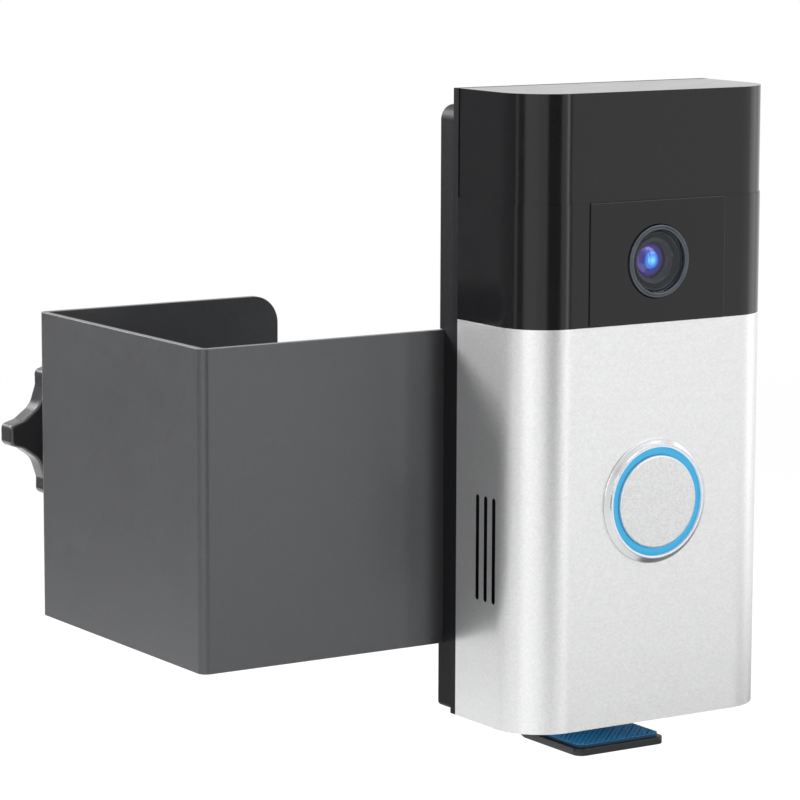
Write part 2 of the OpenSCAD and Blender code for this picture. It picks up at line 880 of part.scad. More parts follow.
// Block against the inside of the left wall, between two distances from it
module side_block(x0, x1, d0, d1, length) {
    inside_x = shell_wall - half_w;
    slab(inside_x + x0, inside_x + x1, d0, d1, speaker_z - length / 2, speaker_z + length / 2);
}

module speaker() {
    color([0.15, 0.15, 0.15])
        side_block(gasket_t, gasket_t + speaker_t, speaker_back_d, speaker_front_d, speaker_l);
}

module speaker_gasket() {
    color([0.25, 0.25, 0.25]) difference() {
        side_block(0, gasket_t, speaker_back_d, speaker_front_d, speaker_l);
        side_block(-bite, gasket_t + bite, speaker_back_d + gasket_wall, speaker_front_d - gasket_wall,
                   speaker_l - 2 * gasket_wall);
    }
}

module button_bezel() {
    color([0.8, 0.8, 0.81]) difference() {
        union() {
            translate([0, depth_y(bell_d), button_z]) rotate([90, 0, 0])
                cylinder(h = bezel_h, r1 = bezel_base_r, r2 = bezel_top_r);
            post(0, button_z, skirt_d, bell_d, bezel_skirt_r);
            post(0, button_z, face_in_d - fit_gap - bezel_barb_h, face_in_d - fit_gap, bezel_barb_r);
        }
        post(0, button_z, skirt_d - bite, bezel_top_d + bite, bezel_in_r);
    }
}

module button_lip() {
    color("white") tube(0, button_z, light_back_d, bezel_top_d, bezel_in_r, light_r);
}

module light_ring() {
    color([0.25, 0.65, 0.9]) tube(0, button_z, light_back_d, light_top_d, light_r, light_in_r);
}

module button_cap() {
    hollow_r = cap_r - cap_wall;
    color([0.8, 0.8, 0.81]) {
        difference() {
            union() {
                post(0, button_z, cap_flange_d, cap_top_d, cap_r);
                post(0, button_z, cap_flange_d, cap_flange_d + cap_flange_t, cap_flange_r);
            }
            post(0, button_z, cap_flange_d - bite, cap_top_d - cap_wall, hollow_r);
        }
        post(0, button_z, stem_top_d, cap_top_d - cap_wall / 2, cap_post_r);
    }
}

module switch_stem() {
    color([0.2, 0.2, 0.2]) post(0, button_z, stem_bottom_d, stem_top_d, stem_r);
}

module switch_body() {
    color([0.15, 0.15, 0.15]) difference() {
        block(0, button_z, parts_d, [switch_w, switch_h, switch_w]);
        post(0, button_z, stem_well_d, parts_d + switch_h + bite, stem_r + fit_gap);
    }
}

module led_board() {
    color([0.1, 0.35, 0.2]) tube(0, button_z, led_board_d, led_board_d + led_board_t, led_board_r, led_board_hole_r);
}

module ring_leds() {
    color("ivory") for (i = [0 : ring_led_count - 1]) {
        angle = i * 360 / ring_led_count;
        block(ring_led_r * cos(angle), button_z + ring_led_r * sin(angle), led_board_d + led_board_t,
              [ring_led_w, ring_led_h, ring_led_w]);
    }
}

module terminal_board() {
    color([0.05, 0.3, 0.15]) difference() {
        block(0, terminal_z, floor_d, terminal_board_size);
        for (x = [-terminal_x, terminal_x]) {
            post(x, terminal_z, pocket_d, board_d, terminal_r);
        }
        block(0, terminal_z, pocket_d, [port_w + 2 * fit_gap, board_d - pocket_d, port_h + 2 * fit_gap]);
    }
}

module terminal_screws() {
    tip_d = floor_d + terminal_board_size[1] + terminal_bush_h;
    color("silver") for (x = [-terminal_x, terminal_x]) {
        post(x, terminal_z, pocket_d - terminal_head_h, pocket_d, terminal_head_r);
        post(x, terminal_z, pocket_d, tip_d, terminal_r);
    }
}

module terminal_bushes() {
    base_d = floor_d + terminal_board_size[1];
    color("gold") for (x = [-terminal_x, terminal_x]) {
        tube(x, terminal_z, base_d, base_d + terminal_bush_h, terminal_bush_r, terminal_r);
    }
}

module charging_port() {
    color("silver") difference() {
        union() {
            block(0, terminal_z, port_back_d, [port_w, port_l, port_h]);
            block(0, terminal_z, floor_d + terminal_board_size[1], [port_w + 2 * bite, port_wall, port_h + 2 * bite]);
        }
        block(0, terminal_z, port_back_d - bite,
              [port_w - 2 * port_wall, port_l + bite - 2 * port_wall, port_h - 2 * port_wall]);
    }
}

module housing_screws() {
    color("silver") case_screw_places() case_screw(0);
}

module security_screw() {
    color("dimgray") {
        security_head(0);
        security_shank();
    }
}

clamp_bracket();
weld_nut();
mount_tray();
tray_rivets();
tab_rivets();
upper_door_pad();
lower_door_pads();
guard_tab();
tab_pad();
pressure_plate();
pressure_pad();
swivel_cap();
knob_stud();
star_knob();
wall_plate();
plate_screws();
rear_housing();
faceplate();
camera_housing();
top_cap();
camera_panel();
lens_ring();
lens_window();
lens_barrel();
front_lens();
image_sensor();
infrared_leds();
motion_sensor();
motion_lens();
main_board();
board_screws();
wifi_module();
processor();
microphone();
battery();
battery_foam();
speaker();
speaker_gasket();
button_bezel();
button_lip();
light_ring();
button_cap();
switch_stem();
switch_body();
led_board();
ring_leds();
terminal_board();
terminal_screws();
terminal_bushes();
charging_port();
housing_screws();
security_screw();
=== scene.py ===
"""Looks of a video doorbell on its door clamp. Laid out as an add-on and run as a script."""
import json
import math

import bmesh
import bpy
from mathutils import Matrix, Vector


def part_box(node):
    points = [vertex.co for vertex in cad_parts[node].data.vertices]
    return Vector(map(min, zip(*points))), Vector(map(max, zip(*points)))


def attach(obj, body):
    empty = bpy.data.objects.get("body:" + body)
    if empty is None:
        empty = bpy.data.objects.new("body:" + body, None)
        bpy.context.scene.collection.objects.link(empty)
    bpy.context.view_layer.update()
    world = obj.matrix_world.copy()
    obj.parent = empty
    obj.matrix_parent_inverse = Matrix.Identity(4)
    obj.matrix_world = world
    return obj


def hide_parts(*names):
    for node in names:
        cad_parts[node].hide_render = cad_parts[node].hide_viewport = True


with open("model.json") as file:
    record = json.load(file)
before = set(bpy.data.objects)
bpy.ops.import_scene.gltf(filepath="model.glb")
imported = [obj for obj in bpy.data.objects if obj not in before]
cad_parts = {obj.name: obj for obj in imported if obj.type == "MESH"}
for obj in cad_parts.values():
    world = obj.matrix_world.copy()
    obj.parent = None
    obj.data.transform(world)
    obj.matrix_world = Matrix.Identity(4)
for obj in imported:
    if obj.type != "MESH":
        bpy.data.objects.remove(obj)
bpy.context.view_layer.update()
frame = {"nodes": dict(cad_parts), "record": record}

bl_info = {
    "name": "Video doorbell on a door clamp",
    "version": (1, 0, 0),
    "blender": (4, 5, 0),
    "location": "View3D > Sidebar > Doorbell",
    "description": "Builds the finished pieces of a doorbell around its packed frame",
    "category": "Object",
}

MM = 0.001
TAU = 2 * math.pi

# Places that come from the frame
BUTTON_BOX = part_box("button_cap")
BUTTON = ((BUTTON_BOX[0][0] + BUTTON_BOX[1][0]) / 2, (BUTTON_BOX[0][2] + BUTTON_BOX[1][2]) / 2)
LENS_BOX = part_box("lens_window")
LENS = ((LENS_BOX[0][0] + LENS_BOX[1][0]) / 2, (LENS_BOX[0][2] + LENS_BOX[1][2]) / 2)
STUD_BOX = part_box("knob_stud")
KNOB = ((STUD_BOX[0][0] + STUD_BOX[1][0]) / 2, (STUD_BOX[0][2] + STUD_BOX[1][2]) / 2)


# ---------------------------------------------------------------- sizes and colours

class DoorbellSizes(bpy.types.PropertyGroup):
    """Sizes that a user may change."""
    shell_edge: bpy.props.FloatProperty(
        name="Shell edge", description="Radius of the shells' edges", default=0.35 * MM, unit="LENGTH")
    sheet_edge: bpy.props.FloatProperty(
        name="Sheet edge", description="Radius of the sheet metal's edges", default=0.22 * MM,
        unit="LENGTH")
    small_edge: bpy.props.FloatProperty(
        name="Small edge", description="Radius on fasteners and small pieces", default=0.15 * MM,
        unit="LENGTH")
    thread_pitch: bpy.props.FloatProperty(
        name="Thread pitch", description="Pitch of the clamp's stud", default=1.0 * MM, unit="LENGTH")
    pad_pitch: bpy.props.FloatProperty(
        name="Pad pattern", description="Pitch of the guard pad's diamonds", default=1.3 * MM,
        unit="LENGTH")
    floor_drop: bpy.props.FloatProperty(
        name="Floor drop", description="Height of the floor below the origin", default=0.16, unit="LENGTH")
    camera_yaw: bpy.props.FloatProperty(
        name="Camera yaw", description="Direction of view, turned from +Y towards +X",
        default=math.radians(32.844), subtype="ANGLE")
    camera_pitch: bpy.props.FloatProperty(
        name="Camera pitch", description="How far the view looks down", default=math.radians(8.651),
        subtype="ANGLE")
    camera_roll: bpy.props.FloatProperty(
        name="Camera roll", description="Turn about the line of sight", default=math.radians(0.197),
        subtype="ANGLE")
    camera_place: bpy.props.FloatVectorProperty(
        name="Camera place", description="Where the camera stands", default=(-0.42991, -0.60349, 0.11035),
        size=3, subtype="XYZ", unit="LENGTH")
    focal_length: bpy.props.FloatProperty(
        name="Focal length", description="Lens on a 36 mm sensor, in millimetres", default=163.8)


def colour_property(label, text, value):
    """Colour setting in linear light."""
    return bpy.props.FloatVectorProperty(
        name=label, description=text, default=value, size=3, min=0, max=1, subtype="COLOR")


class DoorbellColours(bpy.types.PropertyGroup):
    """Colours that a user may change, in linear light."""
    satin: colour_property("Satin metal", "Faceplate, bezel and disc", (0.8, 0.8, 0.8))
    gloss: colour_property("Gloss black", "Camera section and top cap", (0.006, 0.006, 0.0065))
    housing: colour_property("Housing black", "Rear housing and tray", (0.008, 0.008, 0.009))
    clamp: colour_property("Clamp paint", "Sheet-steel clamp", (0.1, 0.101, 0.104))
    zinc: colour_property("Zinc steel", "Fasteners and stud", (0.5, 0.5, 0.51))
    knob: colour_property("Knob black", "Star knob and foot", (0.014, 0.014, 0.015))
    rubber: colour_property("Rubber black", "Pads and gaskets", (0.016, 0.016, 0.017))
    pad: colour_property("Guard pad blue", "Textured pad on the guard tab", (0.012, 0.19, 0.42))
    light: colour_property("Button light", "Lit ring round the button", (0.03, 0.3, 0.52))
    board: colour_property("Board green", "Circuit boards", (0.01, 0.11, 0.045))


def sizes():
    return bpy.context.scene.doorbell_sizes


def colours():
    return bpy.context.scene.doorbell_colours


# ---------------------------------------------------------------- shader groups and materials

def new_group(name, inputs, outputs):
    """Node group with float inputs and outputs, and its two end nodes."""
    group = bpy.data.node_groups.new(name, "ShaderNodeTree")
    for label, value in inputs:
        socket = group.interface.new_socket(name=label, in_out="INPUT", socket_type="NodeSocketFloat")
        socket.default_value = value
    for label in outputs:
        group.interface.new_socket(name=label, in_out="OUTPUT", socket_type="NodeSocketFloat")
    return group, group.nodes.new("NodeGroupInput"), group.nodes.new("NodeGroupOutput")


def feed(tree, value, socket):
    """Links an output to the socket, or sets the socket to a number or a colour."""
    if isinstance(value, (int, float)):
        socket.default_value = value
    elif isinstance(value, tuple):
        socket.default_value = (*value, 1)
    else:
        tree.links.new(value, socket)


def math_node(tree, operation, first, second=0.0):
    """Math node whose inputs are sockets or numbers; returns its output."""
    node = tree.nodes.new("ShaderNodeMath")
    node.operation = operation
    feed(tree, first, node.inputs[0])
    feed(tree, second, node.inputs[1])
    return node.outputs[0]


def noise_node(tree, vector, scale, detail, rough=0.55):
    """Noise texture; returns its value."""
    node = tree.nodes.new("ShaderNodeTexNoise")
    node.inputs["Detail"].default_value = detail
    node.inputs["Roughness"].default_value = rough
    feed(tree, scale, node.inputs["Scale"])
    tree.links.new(vector, node.inputs["Vector"])
    return node.outputs["Fac"]


def place_coords(tree):
    """The place of a surface point in the frame's own coordinates."""
    return tree.nodes.new("ShaderNodeTexCoord").outputs["Object"]


def split_place(tree):
    """X, Y and Z of a surface point, in metres."""
    parts = tree.nodes.new("ShaderNodeSeparateXYZ")
    tree.links.new(place_coords(tree), parts.inputs[0])
    return parts.outputs[0], parts.outputs[1], parts.outputs[2]


# Grain: scale of its wide part beside the fine part, and the fine part's share
WIDE_GRAIN = 0.37
FINE_SHARE = 0.65

# Scales of the handling marks, per metre, and the size of a dust speck within its cell
SMEAR_SCALE = 45.0
STREAK_SCALE = 210.0
SPECK_SCALE = 900.0
SPECK_SIZE = 0.09
DUST_COLOUR = (0.4, 0.39, 0.37)

# Wear and painted highlight along the edges: how far from an edge the paint thins and lightens, and the scale
# of its patches
EDGE_WEAR_AND_HIGHLIGHT_REACH = 0.5 * MM
EDGE_WEAR_AND_HIGHLIGHT_SCALE = 900.0


def build_grain_group():
    """Fine grain that may be drawn out along X, as on brushed or blasted surfaces."""
    group, ins, outs = new_group("Fine grain", [("Scale", 2500.0), ("Stretch", 1.0), ("Strength", 1.0)],
                                 ["Grain", "Height"])
    joined = group.nodes.new("ShaderNodeCombineXYZ")
    x, y, z = split_place(group)
    feed(group, math_node(group, "DIVIDE", x, ins.outputs["Stretch"]), joined.inputs[0])
    feed(group, y, joined.inputs[1])
    feed(group, z, joined.inputs[2])
    fine = noise_node(group, joined.outputs[0], ins.outputs["Scale"], 2.0)
    wide_scale = math_node(group, "MULTIPLY", ins.outputs["Scale"], WIDE_GRAIN)
    wide = noise_node(group, joined.outputs[0], wide_scale, 1.0)
    both = math_node(group, "ADD", math_node(group, "MULTIPLY", fine, FINE_SHARE),
                     math_node(group, "MULTIPLY", wide, 1 - FINE_SHARE))
    group.links.new(both, outs.inputs["Grain"])
    group.links.new(math_node(group, "MULTIPLY", both, ins.outputs["Strength"]), outs.inputs["Height"])
    return group


def build_handling_group():
    """Smudges and dust specks that touching and standing about leave."""
    group, ins, outs = new_group("Handling", [("Smudge", 0.5), ("Dust", 0.3)], ["Smear", "Specks"])
    place = place_coords(group)
    broad = noise_node(group, place, SMEAR_SCALE, 4.0, 0.6)
    streaks = noise_node(group, place, STREAK_SCALE, 3.0, 0.5)
    smear = math_node(group, "MULTIPLY", broad, streaks)
    smear = math_node(group, "MULTIPLY", smear, ins.outputs["Smudge"])
    cells = group.nodes.new("ShaderNodeTexVoronoi")
    cells.inputs["Scale"].default_value = SPECK_SCALE
    group.links.new(place, cells.inputs["Vector"])
    speck = math_node(group, "LESS_THAN", cells.outputs["Distance"], SPECK_SIZE)
    group.links.new(smear, outs.inputs["Smear"])
    group.links.new(math_node(group, "MULTIPLY", speck, ins.outputs["Dust"]), outs.inputs["Specks"])
    return group


def build_edge_wear_and_highlight_group():
    """Mask of the outer edges, where paint wears thin and where a painted highlight lightens them."""
    group, ins, outs = new_group("Edge wear", [("Amount", 0.5)], ["Edge"])
    bevel = group.nodes.new("ShaderNodeBevel")
    bevel.samples = 4
    bevel.inputs["Radius"].default_value = EDGE_WEAR_AND_HIGHLIGHT_REACH
    geometry = group.nodes.new("ShaderNodeNewGeometry")
    dot = group.nodes.new("ShaderNodeVectorMath")
    dot.operation = "DOT_PRODUCT"
    group.links.new(bevel.outputs[0], dot.inputs[0])
    group.links.new(geometry.outputs["Normal"], dot.inputs[1])
    patchy = noise_node(group, place_coords(group), EDGE_WEAR_AND_HIGHLIGHT_SCALE, 3.0)
    edge = math_node(group, "SUBTRACT", 1.0, dot.outputs["Value"])
    worn_and_highlit = math_node(group, "MULTIPLY", math_node(group, "MULTIPLY", edge, patchy), ins.outputs["Amount"])
    group.links.new(worn_and_highlit, outs.inputs["Edge"])
    return group


GROUP_BUILDERS = {"Fine grain": build_grain_group, "Handling": build_handling_group,
                  "Edge wear": build_edge_wear_and_highlight_group}


def place_group(tree, name, **values):
    """Puts the named group, built once, into a material with its own values."""
    node = tree.nodes.new("ShaderNodeGroup")
    node.node_tree = bpy.data.node_groups.get(name) or GROUP_BUILDERS[name]()
    for label, value in values.items():
        node.inputs[label].default_value = value
    return node


def mix_colour(tree, factor, first, second):
    """Blend of two colours, each a socket or a plain colour."""
    node = tree.nodes.new("ShaderNodeMix")
    node.data_type = "RGBA"
    feed(tree, factor, node.inputs[0])
    feed(tree, first, node.inputs[6])
    feed(tree, second, node.inputs[7])
    return node.outputs[2]


def source_of(socket):
    """The output that feeds a socket."""
    return socket.links[0].from_socket


def spread(tree, value, low, high):
    """Maps a value of 0 to 1 onto low to high."""
    node = tree.nodes.new("ShaderNodeMapRange")
    node.inputs["To Min"].default_value = low
    node.inputs["To Max"].default_value = high
    tree.links.new(value, node.inputs["Value"])
    return node.outputs[0]


def bump(tree, height, distance):
    """Normal raised by a height, with its full depth in metres."""
    node = tree.nodes.new("ShaderNodeBump")
    node.inputs["Strength"].default_value = 1.0
    node.inputs["Distance"].default_value = distance
    tree.links.new(height, node.inputs["Height"])
    return node.outputs["Normal"]


def finish_material(name, colour, rough, metallic=0.0, grain=(2500.0, 1.0), tint=0.12, relief=0.01,
                    smudge=0.0, dust=0.0, wear=None, **fixed):
    """Principled material with grain in its colour, roughness and relief, and marks where asked.

    grain is its scale per metre and its stretch along X, tint the grain's share of the colour, relief
    its depth in millimetres, wear the amount of edge wear and painted edge highlight and the colour below the
    paint.
    """
    made = bpy.data.materials.get(name)
    if made:
        return made
    material = bpy.data.materials.new(name)
    material.use_nodes = True
    tree = material.node_tree
    shader = tree.nodes["Principled BSDF"]
    shader.inputs["Metallic"].default_value = metallic
    for label, value in fixed.items():
        shader.inputs[label.replace("_", " ")].default_value = value
    grain_node = place_group(tree, "Fine grain", Scale=grain[0], Stretch=grain[1], Strength=1.0)
    value = grain_node.outputs["Grain"]
    dark = tuple(c * (1 - tint) for c in colour)
    light = tuple(min(1.0, c * (1 + tint)) for c in colour)
    base = mix_colour(tree, value, dark, light)
    roughness = spread(tree, value, rough * 0.85, min(1.0, rough * 1.15))
    if smudge or dust:
        handling = place_group(tree, "Handling", Smudge=smudge, Dust=dust)
        roughness = math_node(tree, "ADD", roughness, handling.outputs["Smear"])
        base = mix_colour(tree, handling.outputs["Specks"], base, DUST_COLOUR)
    if wear:
        # Edge colour: wear, and a painted highlight along the edges
        amount, edge_colour = wear
        edge = place_group(tree, "Edge wear", Amount=amount)
        base = mix_colour(tree, edge.outputs["Edge"], base, edge_colour)
    tree.links.new(base, shader.inputs["Base Color"])
    tree.links.new(roughness, shader.inputs["Roughness"])
    if relief:
        tree.links.new(bump(tree, grain_node.outputs["Height"], relief * MM), shader.inputs["Normal"])
    return material


# Plain finishes: name, colour, roughness, metallic, grain, tint, relief in millimetres, and the rest
FINISHES = {
    "disc_metal": ("Blasted disc metal", (0.88, 0.88, 0.88), 0.42, 0.85, (4300.0, 1.0), 0.45, 0.1, {}),
    "bezel_metal": ("Turned bezel metal", (0.66, 0.67, 0.68), 0.22, 1.0, (2200.0, 1.0), 0.05, 0.006, {}),
    "gloss_black": ("Gloss black", "gloss", 0.13, 0.0, (300.0, 1.0), 0.1, 0.0,
                    {"smudge": 0.12, "dust": 0.03, "Specular_IOR_Level": 0.42}),
    "panel_black": ("Camera panel black", (0.005, 0.005, 0.006), 0.05, 0.0, (300.0, 1.0), 0.1, 0.0,
                    {"smudge": 0.1, "dust": 0.02, "Specular_IOR_Level": 0.4}),
    "housing_black": ("Grained housing black", "housing", 0.42, 0.0, (1900.0, 1.0), 0.25, 0.03,
                      {"smudge": 0.1, "Specular_IOR_Level": 0.12}),
    "tray_black": ("Tray black", "housing", 0.48, 0.0, (1500.0, 1.0), 0.25, 0.04,
                   {"smudge": 0.1, "Specular_IOR_Level": 0.12}),
    # The clamp's edge wear also lays a painted highlight along its edges.
    "clamp_paint": ("Clamp paint", "clamp", 0.34, 0.75, (1300.0, 1.0), 0.1, 0.035,
                    {"smudge": 0.12, "dust": 0.02, "wear": (0.9, (0.32, 0.33, 0.35))}),
    "tab_paint": ("Tab powder coat", "housing", 0.4, 0.0, (1500.0, 1.0), 0.2, 0.04,
                  {"wear": (0.6, (0.2, 0.2, 0.21))}),
    "zinc_steel": ("Zinc steel", "zinc", 0.32, 1.0, (1800.0, 3.0), 0.12, 0.015, {"smudge": 0.1}),
    "knob_black": ("Knob black", "knob", 0.2, 0.0, (1200.0, 1.0), 0.2, 0.02,
                   {"smudge": 0.15, "dust": 0.03, "Specular_IOR_Level": 0.9, "wear": (0.2, (0.1, 0.1, 0.1))}),
    "foot_black": ("Foot black", "knob", 0.5, 0.0, (1500.0, 1.0), 0.2, 0.04, {}),
    "soft_black": ("Foam black", "rubber", 0.85, 0.0, (2600.0, 1.0), 0.45, 0.12, {}),
    "lens_black": ("Lens black", (0.03, 0.032, 0.038), 0.25, 0.4, (2400.0, 1.0), 0.2, 0.01, {}),
    "ring_black": ("Lens ring black", (0.09, 0.1, 0.115), 0.24, 0.7, (2600.0, 1.0), 0.15, 0.008, {}),
    "board_green": ("Board green", "board", 0.35, 0.0, (500.0, 1.0), 0.5, 0.02, {}),
    "chip_black": ("Chip black", (0.02, 0.02, 0.02), 0.55, 0.0, (3000.0, 1.0), 0.3, 0.02, {}),
    "contact_brass": ("Contact brass", (0.72, 0.52, 0.22), 0.25, 1.0, (1800.0, 1.0), 0.1, 0.01, {}),
    "battery_wrap": ("Battery wrap", (0.03, 0.08, 0.22), 0.25, 0.0, (120.0, 4.0), 0.2, 0.08, {}),
    "lamp_resin": ("Lamp resin", (0.75, 0.72, 0.55), 0.2, 0.0, (900.0, 1.0), 0.1, 0.005, {}),
    # White plastic; on the button it is a painted highlight on the bezel's inner rim
    "white_plastic_and_rim_highlight": ("Clear white rim", (0.82, 0.85, 0.88), 0.15, 0.0, (1500.0, 1.0), 0.03, 0.003, {}),
}


def finish(key):
    """Material of a plain finish."""
    name, colour, rough, metallic, grain, tint, relief, marks = FINISHES[key]
    if isinstance(colour, str):
        colour = getattr(colours(), colour)
    return finish_material(name, colour, rough, metallic, grain, tint, relief, **marks)

# Where painted shade blackens the speaker slots' walls: depth below the skin, then their front and their
# height
SLOT_SHADE_START = 0.12 * MM
SLOT_SHADE_END = 2.2 * MM
SLOTS_FRONT = -20.6 * MM
SLOTS_MIDDLE = -27.5 * MM
SLOTS_REACH = 11.5 * MM


def faceplate_metal():
    """Satin metal whose cut slot walls carry painted shade: black and not metallic."""
    material = finish_material("Satin faceplate", colours().satin, 0.34, 0.92, (4300.0, 1.3), 0.2, 0.035,
                               smudge=0.05)
    tree = material.node_tree
    shader = tree.nodes["Principled BSDF"]
    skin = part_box("faceplate")[0][0]
    x, y, z = split_place(tree)
    inside = math_node(tree, "GREATER_THAN", x, skin + SLOT_SHADE_START)
    wall = math_node(tree, "LESS_THAN", x, skin + SLOT_SHADE_END)
    back = math_node(tree, "GREATER_THAN", y, SLOTS_FRONT)
    ends = math_node(tree, "COMPARE", z, SLOTS_MIDDLE)
    ends.node.inputs[2].default_value = SLOTS_REACH
    slot_shade_mask = math_node(tree, "MULTIPLY", math_node(tree, "MULTIPLY", inside, wall),
                     math_node(tree, "MULTIPLY", back, ends))
    painted = mix_colour(tree, slot_shade_mask, source_of(shader.inputs["Base Color"]), (0.004, 0.004, 0.004))
    tree.links.new(painted, shader.inputs["Base Color"])
    tree.links.new(spread(tree, slot_shade_mask, 0.92, 0.0), shader.inputs["Metallic"])
    return material


def lit_ring():
    """Blue diffuser that is lit from behind, a little unevenly between its lamps."""
    colour = colours().light
    material = finish_material("Lit blue ring", colour, 0.25, 0.0, (1800.0, 1.0), 0.06, 0.004)
    tree = material.node_tree
    shader = tree.nodes["Principled BSDF"]
    glow = spread(tree, noise_node(tree, place_coords(tree), 130.0, 1.0), 0.85, 1.15)
    lit = mix_colour(tree, glow, tuple(c * 0.8 for c in colour), tuple(colour))
    tree.links.new(lit, shader.inputs["Emission Color"])
    shader.inputs["Emission Strength"].default_value = 0.5
    return material


def blue_pad_with_painted_shade():
    """Blue pad with painted light and shade: its raised diamonds are painted lighter than the channels
    between them, and the pad's sides below its top darker.
    """
    name = "Textured blue pad"
    material = finish_material(name, colours().pad, 0.55, 0.0, (1700.0, 1.0), 0.3, 0.05)
    tree = material.node_tree
    shader = tree.nodes["Principled BSDF"]
    x, y, z = split_place(tree)
    turns = math.pi / sizes().pad_pitch
    waves = []
    for operation in ("ADD", "SUBTRACT"):
        along = math_node(tree, operation, x, y)
        wave = math_node(tree, "SINE", math_node(tree, "MULTIPLY", along, turns))
        waves.append(math_node(tree, "ABSOLUTE", wave))
    # Painted light and shade from the relief: diamond tops lighter, channels darker.
    raised = math_node(tree, "POWER", math_node(tree, "MINIMUM", waves[0], waves[1]), 0.6)
    high = math_node(tree, "GREATER_THAN", z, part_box("tab_pad")[1][2] - 0.4 * MM)
    shade = spread(tree, math_node(tree, "MULTIPLY", raised, high), 0.25, 1.5)
    painted_relief_shading = tree.nodes.new("ShaderNodeVectorMath")
    painted_relief_shading.operation = "SCALE"
    tree.links.new(source_of(shader.inputs["Base Color"]), painted_relief_shading.inputs[0])
    tree.links.new(shade, painted_relief_shading.inputs["Scale"])
    tree.links.new(painted_relief_shading.outputs[0], shader.inputs["Base Color"])
    return material


def window_glass():
    """Thin coated glass: clear, with a bluish reflection."""
    material = finish_material("Coated window", (0.85, 0.9, 1.0), 0.02, 0.0, (400.0, 1.0), 0.03, 0.0)
    shader = material.node_tree.nodes["Principled BSDF"]
    shader.inputs["Transmission Weight"].default_value = 1.0
    shader.inputs["IOR"].default_value = 1.3
    return material


# Colours between the lens's middle (0) and its rim (1): the coating's tint in concentric bands of painted
# reflection, also given off as a painted glow
LENS_PAINTED_REFLECTION_BANDS = [(0.16, (0.12, 0.5, 1.0)), (0.36, (0.02, 0.12, 0.55)), (0.42, (0.05, 0.2, 0.5)),
              (0.5, (0.01, 0.04, 0.2)), (0.78, (0.1, 0.03, 0.2)), (0.84, (0.03, 0.02, 0.09))]


def lens_coating_and_painted_glow():
    """Curved front element with painted reflections in bands and a painted glow: deep blue in the middle,
    violet towards its rim.
    """
    name = "Coated lens"
    material = bpy.data.materials.new(name)
    material.use_nodes = True
    tree = material.node_tree
    shader = tree.nodes["Principled BSDF"]
    x, _, z = split_place(tree)
    across = math_node(tree, "SUBTRACT", x, LENS[0])
    up = math_node(tree, "SUBTRACT", z, LENS[1])
    across_squared = math_node(tree, "MULTIPLY", across, across)
    up_squared = math_node(tree, "MULTIPLY", up, up)
    distance = math_node(tree, "SQRT", math_node(tree, "ADD", across_squared, up_squared))
    radius = math_node(tree, "DIVIDE", distance, 3.6 * MM)
    painted_reflection_ramp = tree.nodes.new("ShaderNodeValToRGB")
    painted_reflection_ramp.color_ramp.elements[0].color = (0.35, 0.8, 1.0, 1)
    painted_reflection_ramp.color_ramp.elements[1].color = (0.02, 0.02, 0.05, 1)
    for place, colour in LENS_PAINTED_REFLECTION_BANDS:
        painted_reflection_ramp.color_ramp.elements.new(place).color = (*colour, 1)
    tree.links.new(radius, painted_reflection_ramp.inputs[0])
    tree.links.new(painted_reflection_ramp.outputs[0], shader.inputs["Base Color"])
    # The bands also feed the emission: a painted glow, as the lens is no lamp.
    tree.links.new(painted_reflection_ramp.outputs[0], shader.inputs["Emission Color"])
    speckle = place_group(tree, "Fine grain", Scale=700.0, Stretch=1.0, Strength=1.0)
    tree.links.new(spread(tree, speckle.outputs["Grain"], 0.03, 0.06), shader.inputs["Roughness"])
    shader.inputs["Metallic"].default_value = 0.4
    shader.inputs["Coat Weight"].default_value = 1.0
    shader.inputs["Coat Tint"].default_value = (0.75, 0.85, 1.0, 1)
    shader.inputs["Emission Strength"].default_value = 0.8
    return material


# ---------------------------------------------------------------- mesh building

# Angles in degrees: edges rounded off, edges shaded as sharp, and flat faces joined into one
SHARP_ANGLE = 28
SHADE_ANGLE = 32
FLAT_ANGLE = 0.6


def link_piece(name, mesh, material, body, node):
    """Adds a finished piece, lets it ride on its body and stand for its CAD node."""
    mesh.materials.clear()
    mesh.materials.append(material)
    piece = bpy.data.objects.new(name, mesh)
    bpy.context.scene.collection.objects.link(piece)
    mesh.shade_smooth()
    mesh.set_sharp_from_angle(angle=math.radians(SHADE_ANGLE))
    even = piece.modifiers.new("Even shading", "WEIGHTED_NORMAL")
    even.keep_sharp = True
    even.weight = 80
    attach(piece, body)
    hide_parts(node)
    return piece


def mesh_from(bm, name):
    """Cleans a bmesh and turns it into a mesh."""
    bmesh.ops.remove_doubles(bm, verts=bm.verts, dist=1e-7)
    bmesh.ops.recalc_face_normals(bm, faces=bm.faces)
    mesh = bpy.data.meshes.new(name)
    bm.to_mesh(mesh)
    bm.free()
    return mesh


def eased(node, radius, segments):
    """Mesh of a CAD node whose sharp edges are rounded off by radius."""
    bm = bmesh.new()
    bm.from_mesh(frame["nodes"][node].data)
    bmesh.ops.remove_doubles(bm, verts=bm.verts, dist=2e-6)
    bmesh.ops.dissolve_limit(bm, angle_limit=math.radians(FLAT_ANGLE), verts=bm.verts, edges=bm.edges)
    limit = math.radians(SHARP_ANGLE)
    sharp = [e for e in bm.edges if len(e.link_faces) == 2 and e.calc_face_angle(0) > limit]
    bmesh.ops.bevel(bm, geom=sharp, offset=radius, segments=segments, profile=0.5, affect="EDGES",
                    clamp_overlap=True, harden_normals=False, miter_outer="SHARP", miter_inner="SHARP")
    bmesh.ops.triangulate(bm, faces=[f for f in bm.faces if len(f.verts) > 4])
    return mesh_from(bm, node)


def body_of_node(node):
    """The body that holds a CAD node."""
    for body, members in frame["record"]["behaviour"]["bodies"].items():
        if node in members:
            return body
    raise RuntimeError("no body holds " + node)


def stand_for(node, ending, mesh, material):
    """Adds a mesh as the finished piece of one CAD node, on the node's body."""
    return link_piece(node + ending, mesh, material, body_of_node(node), node)


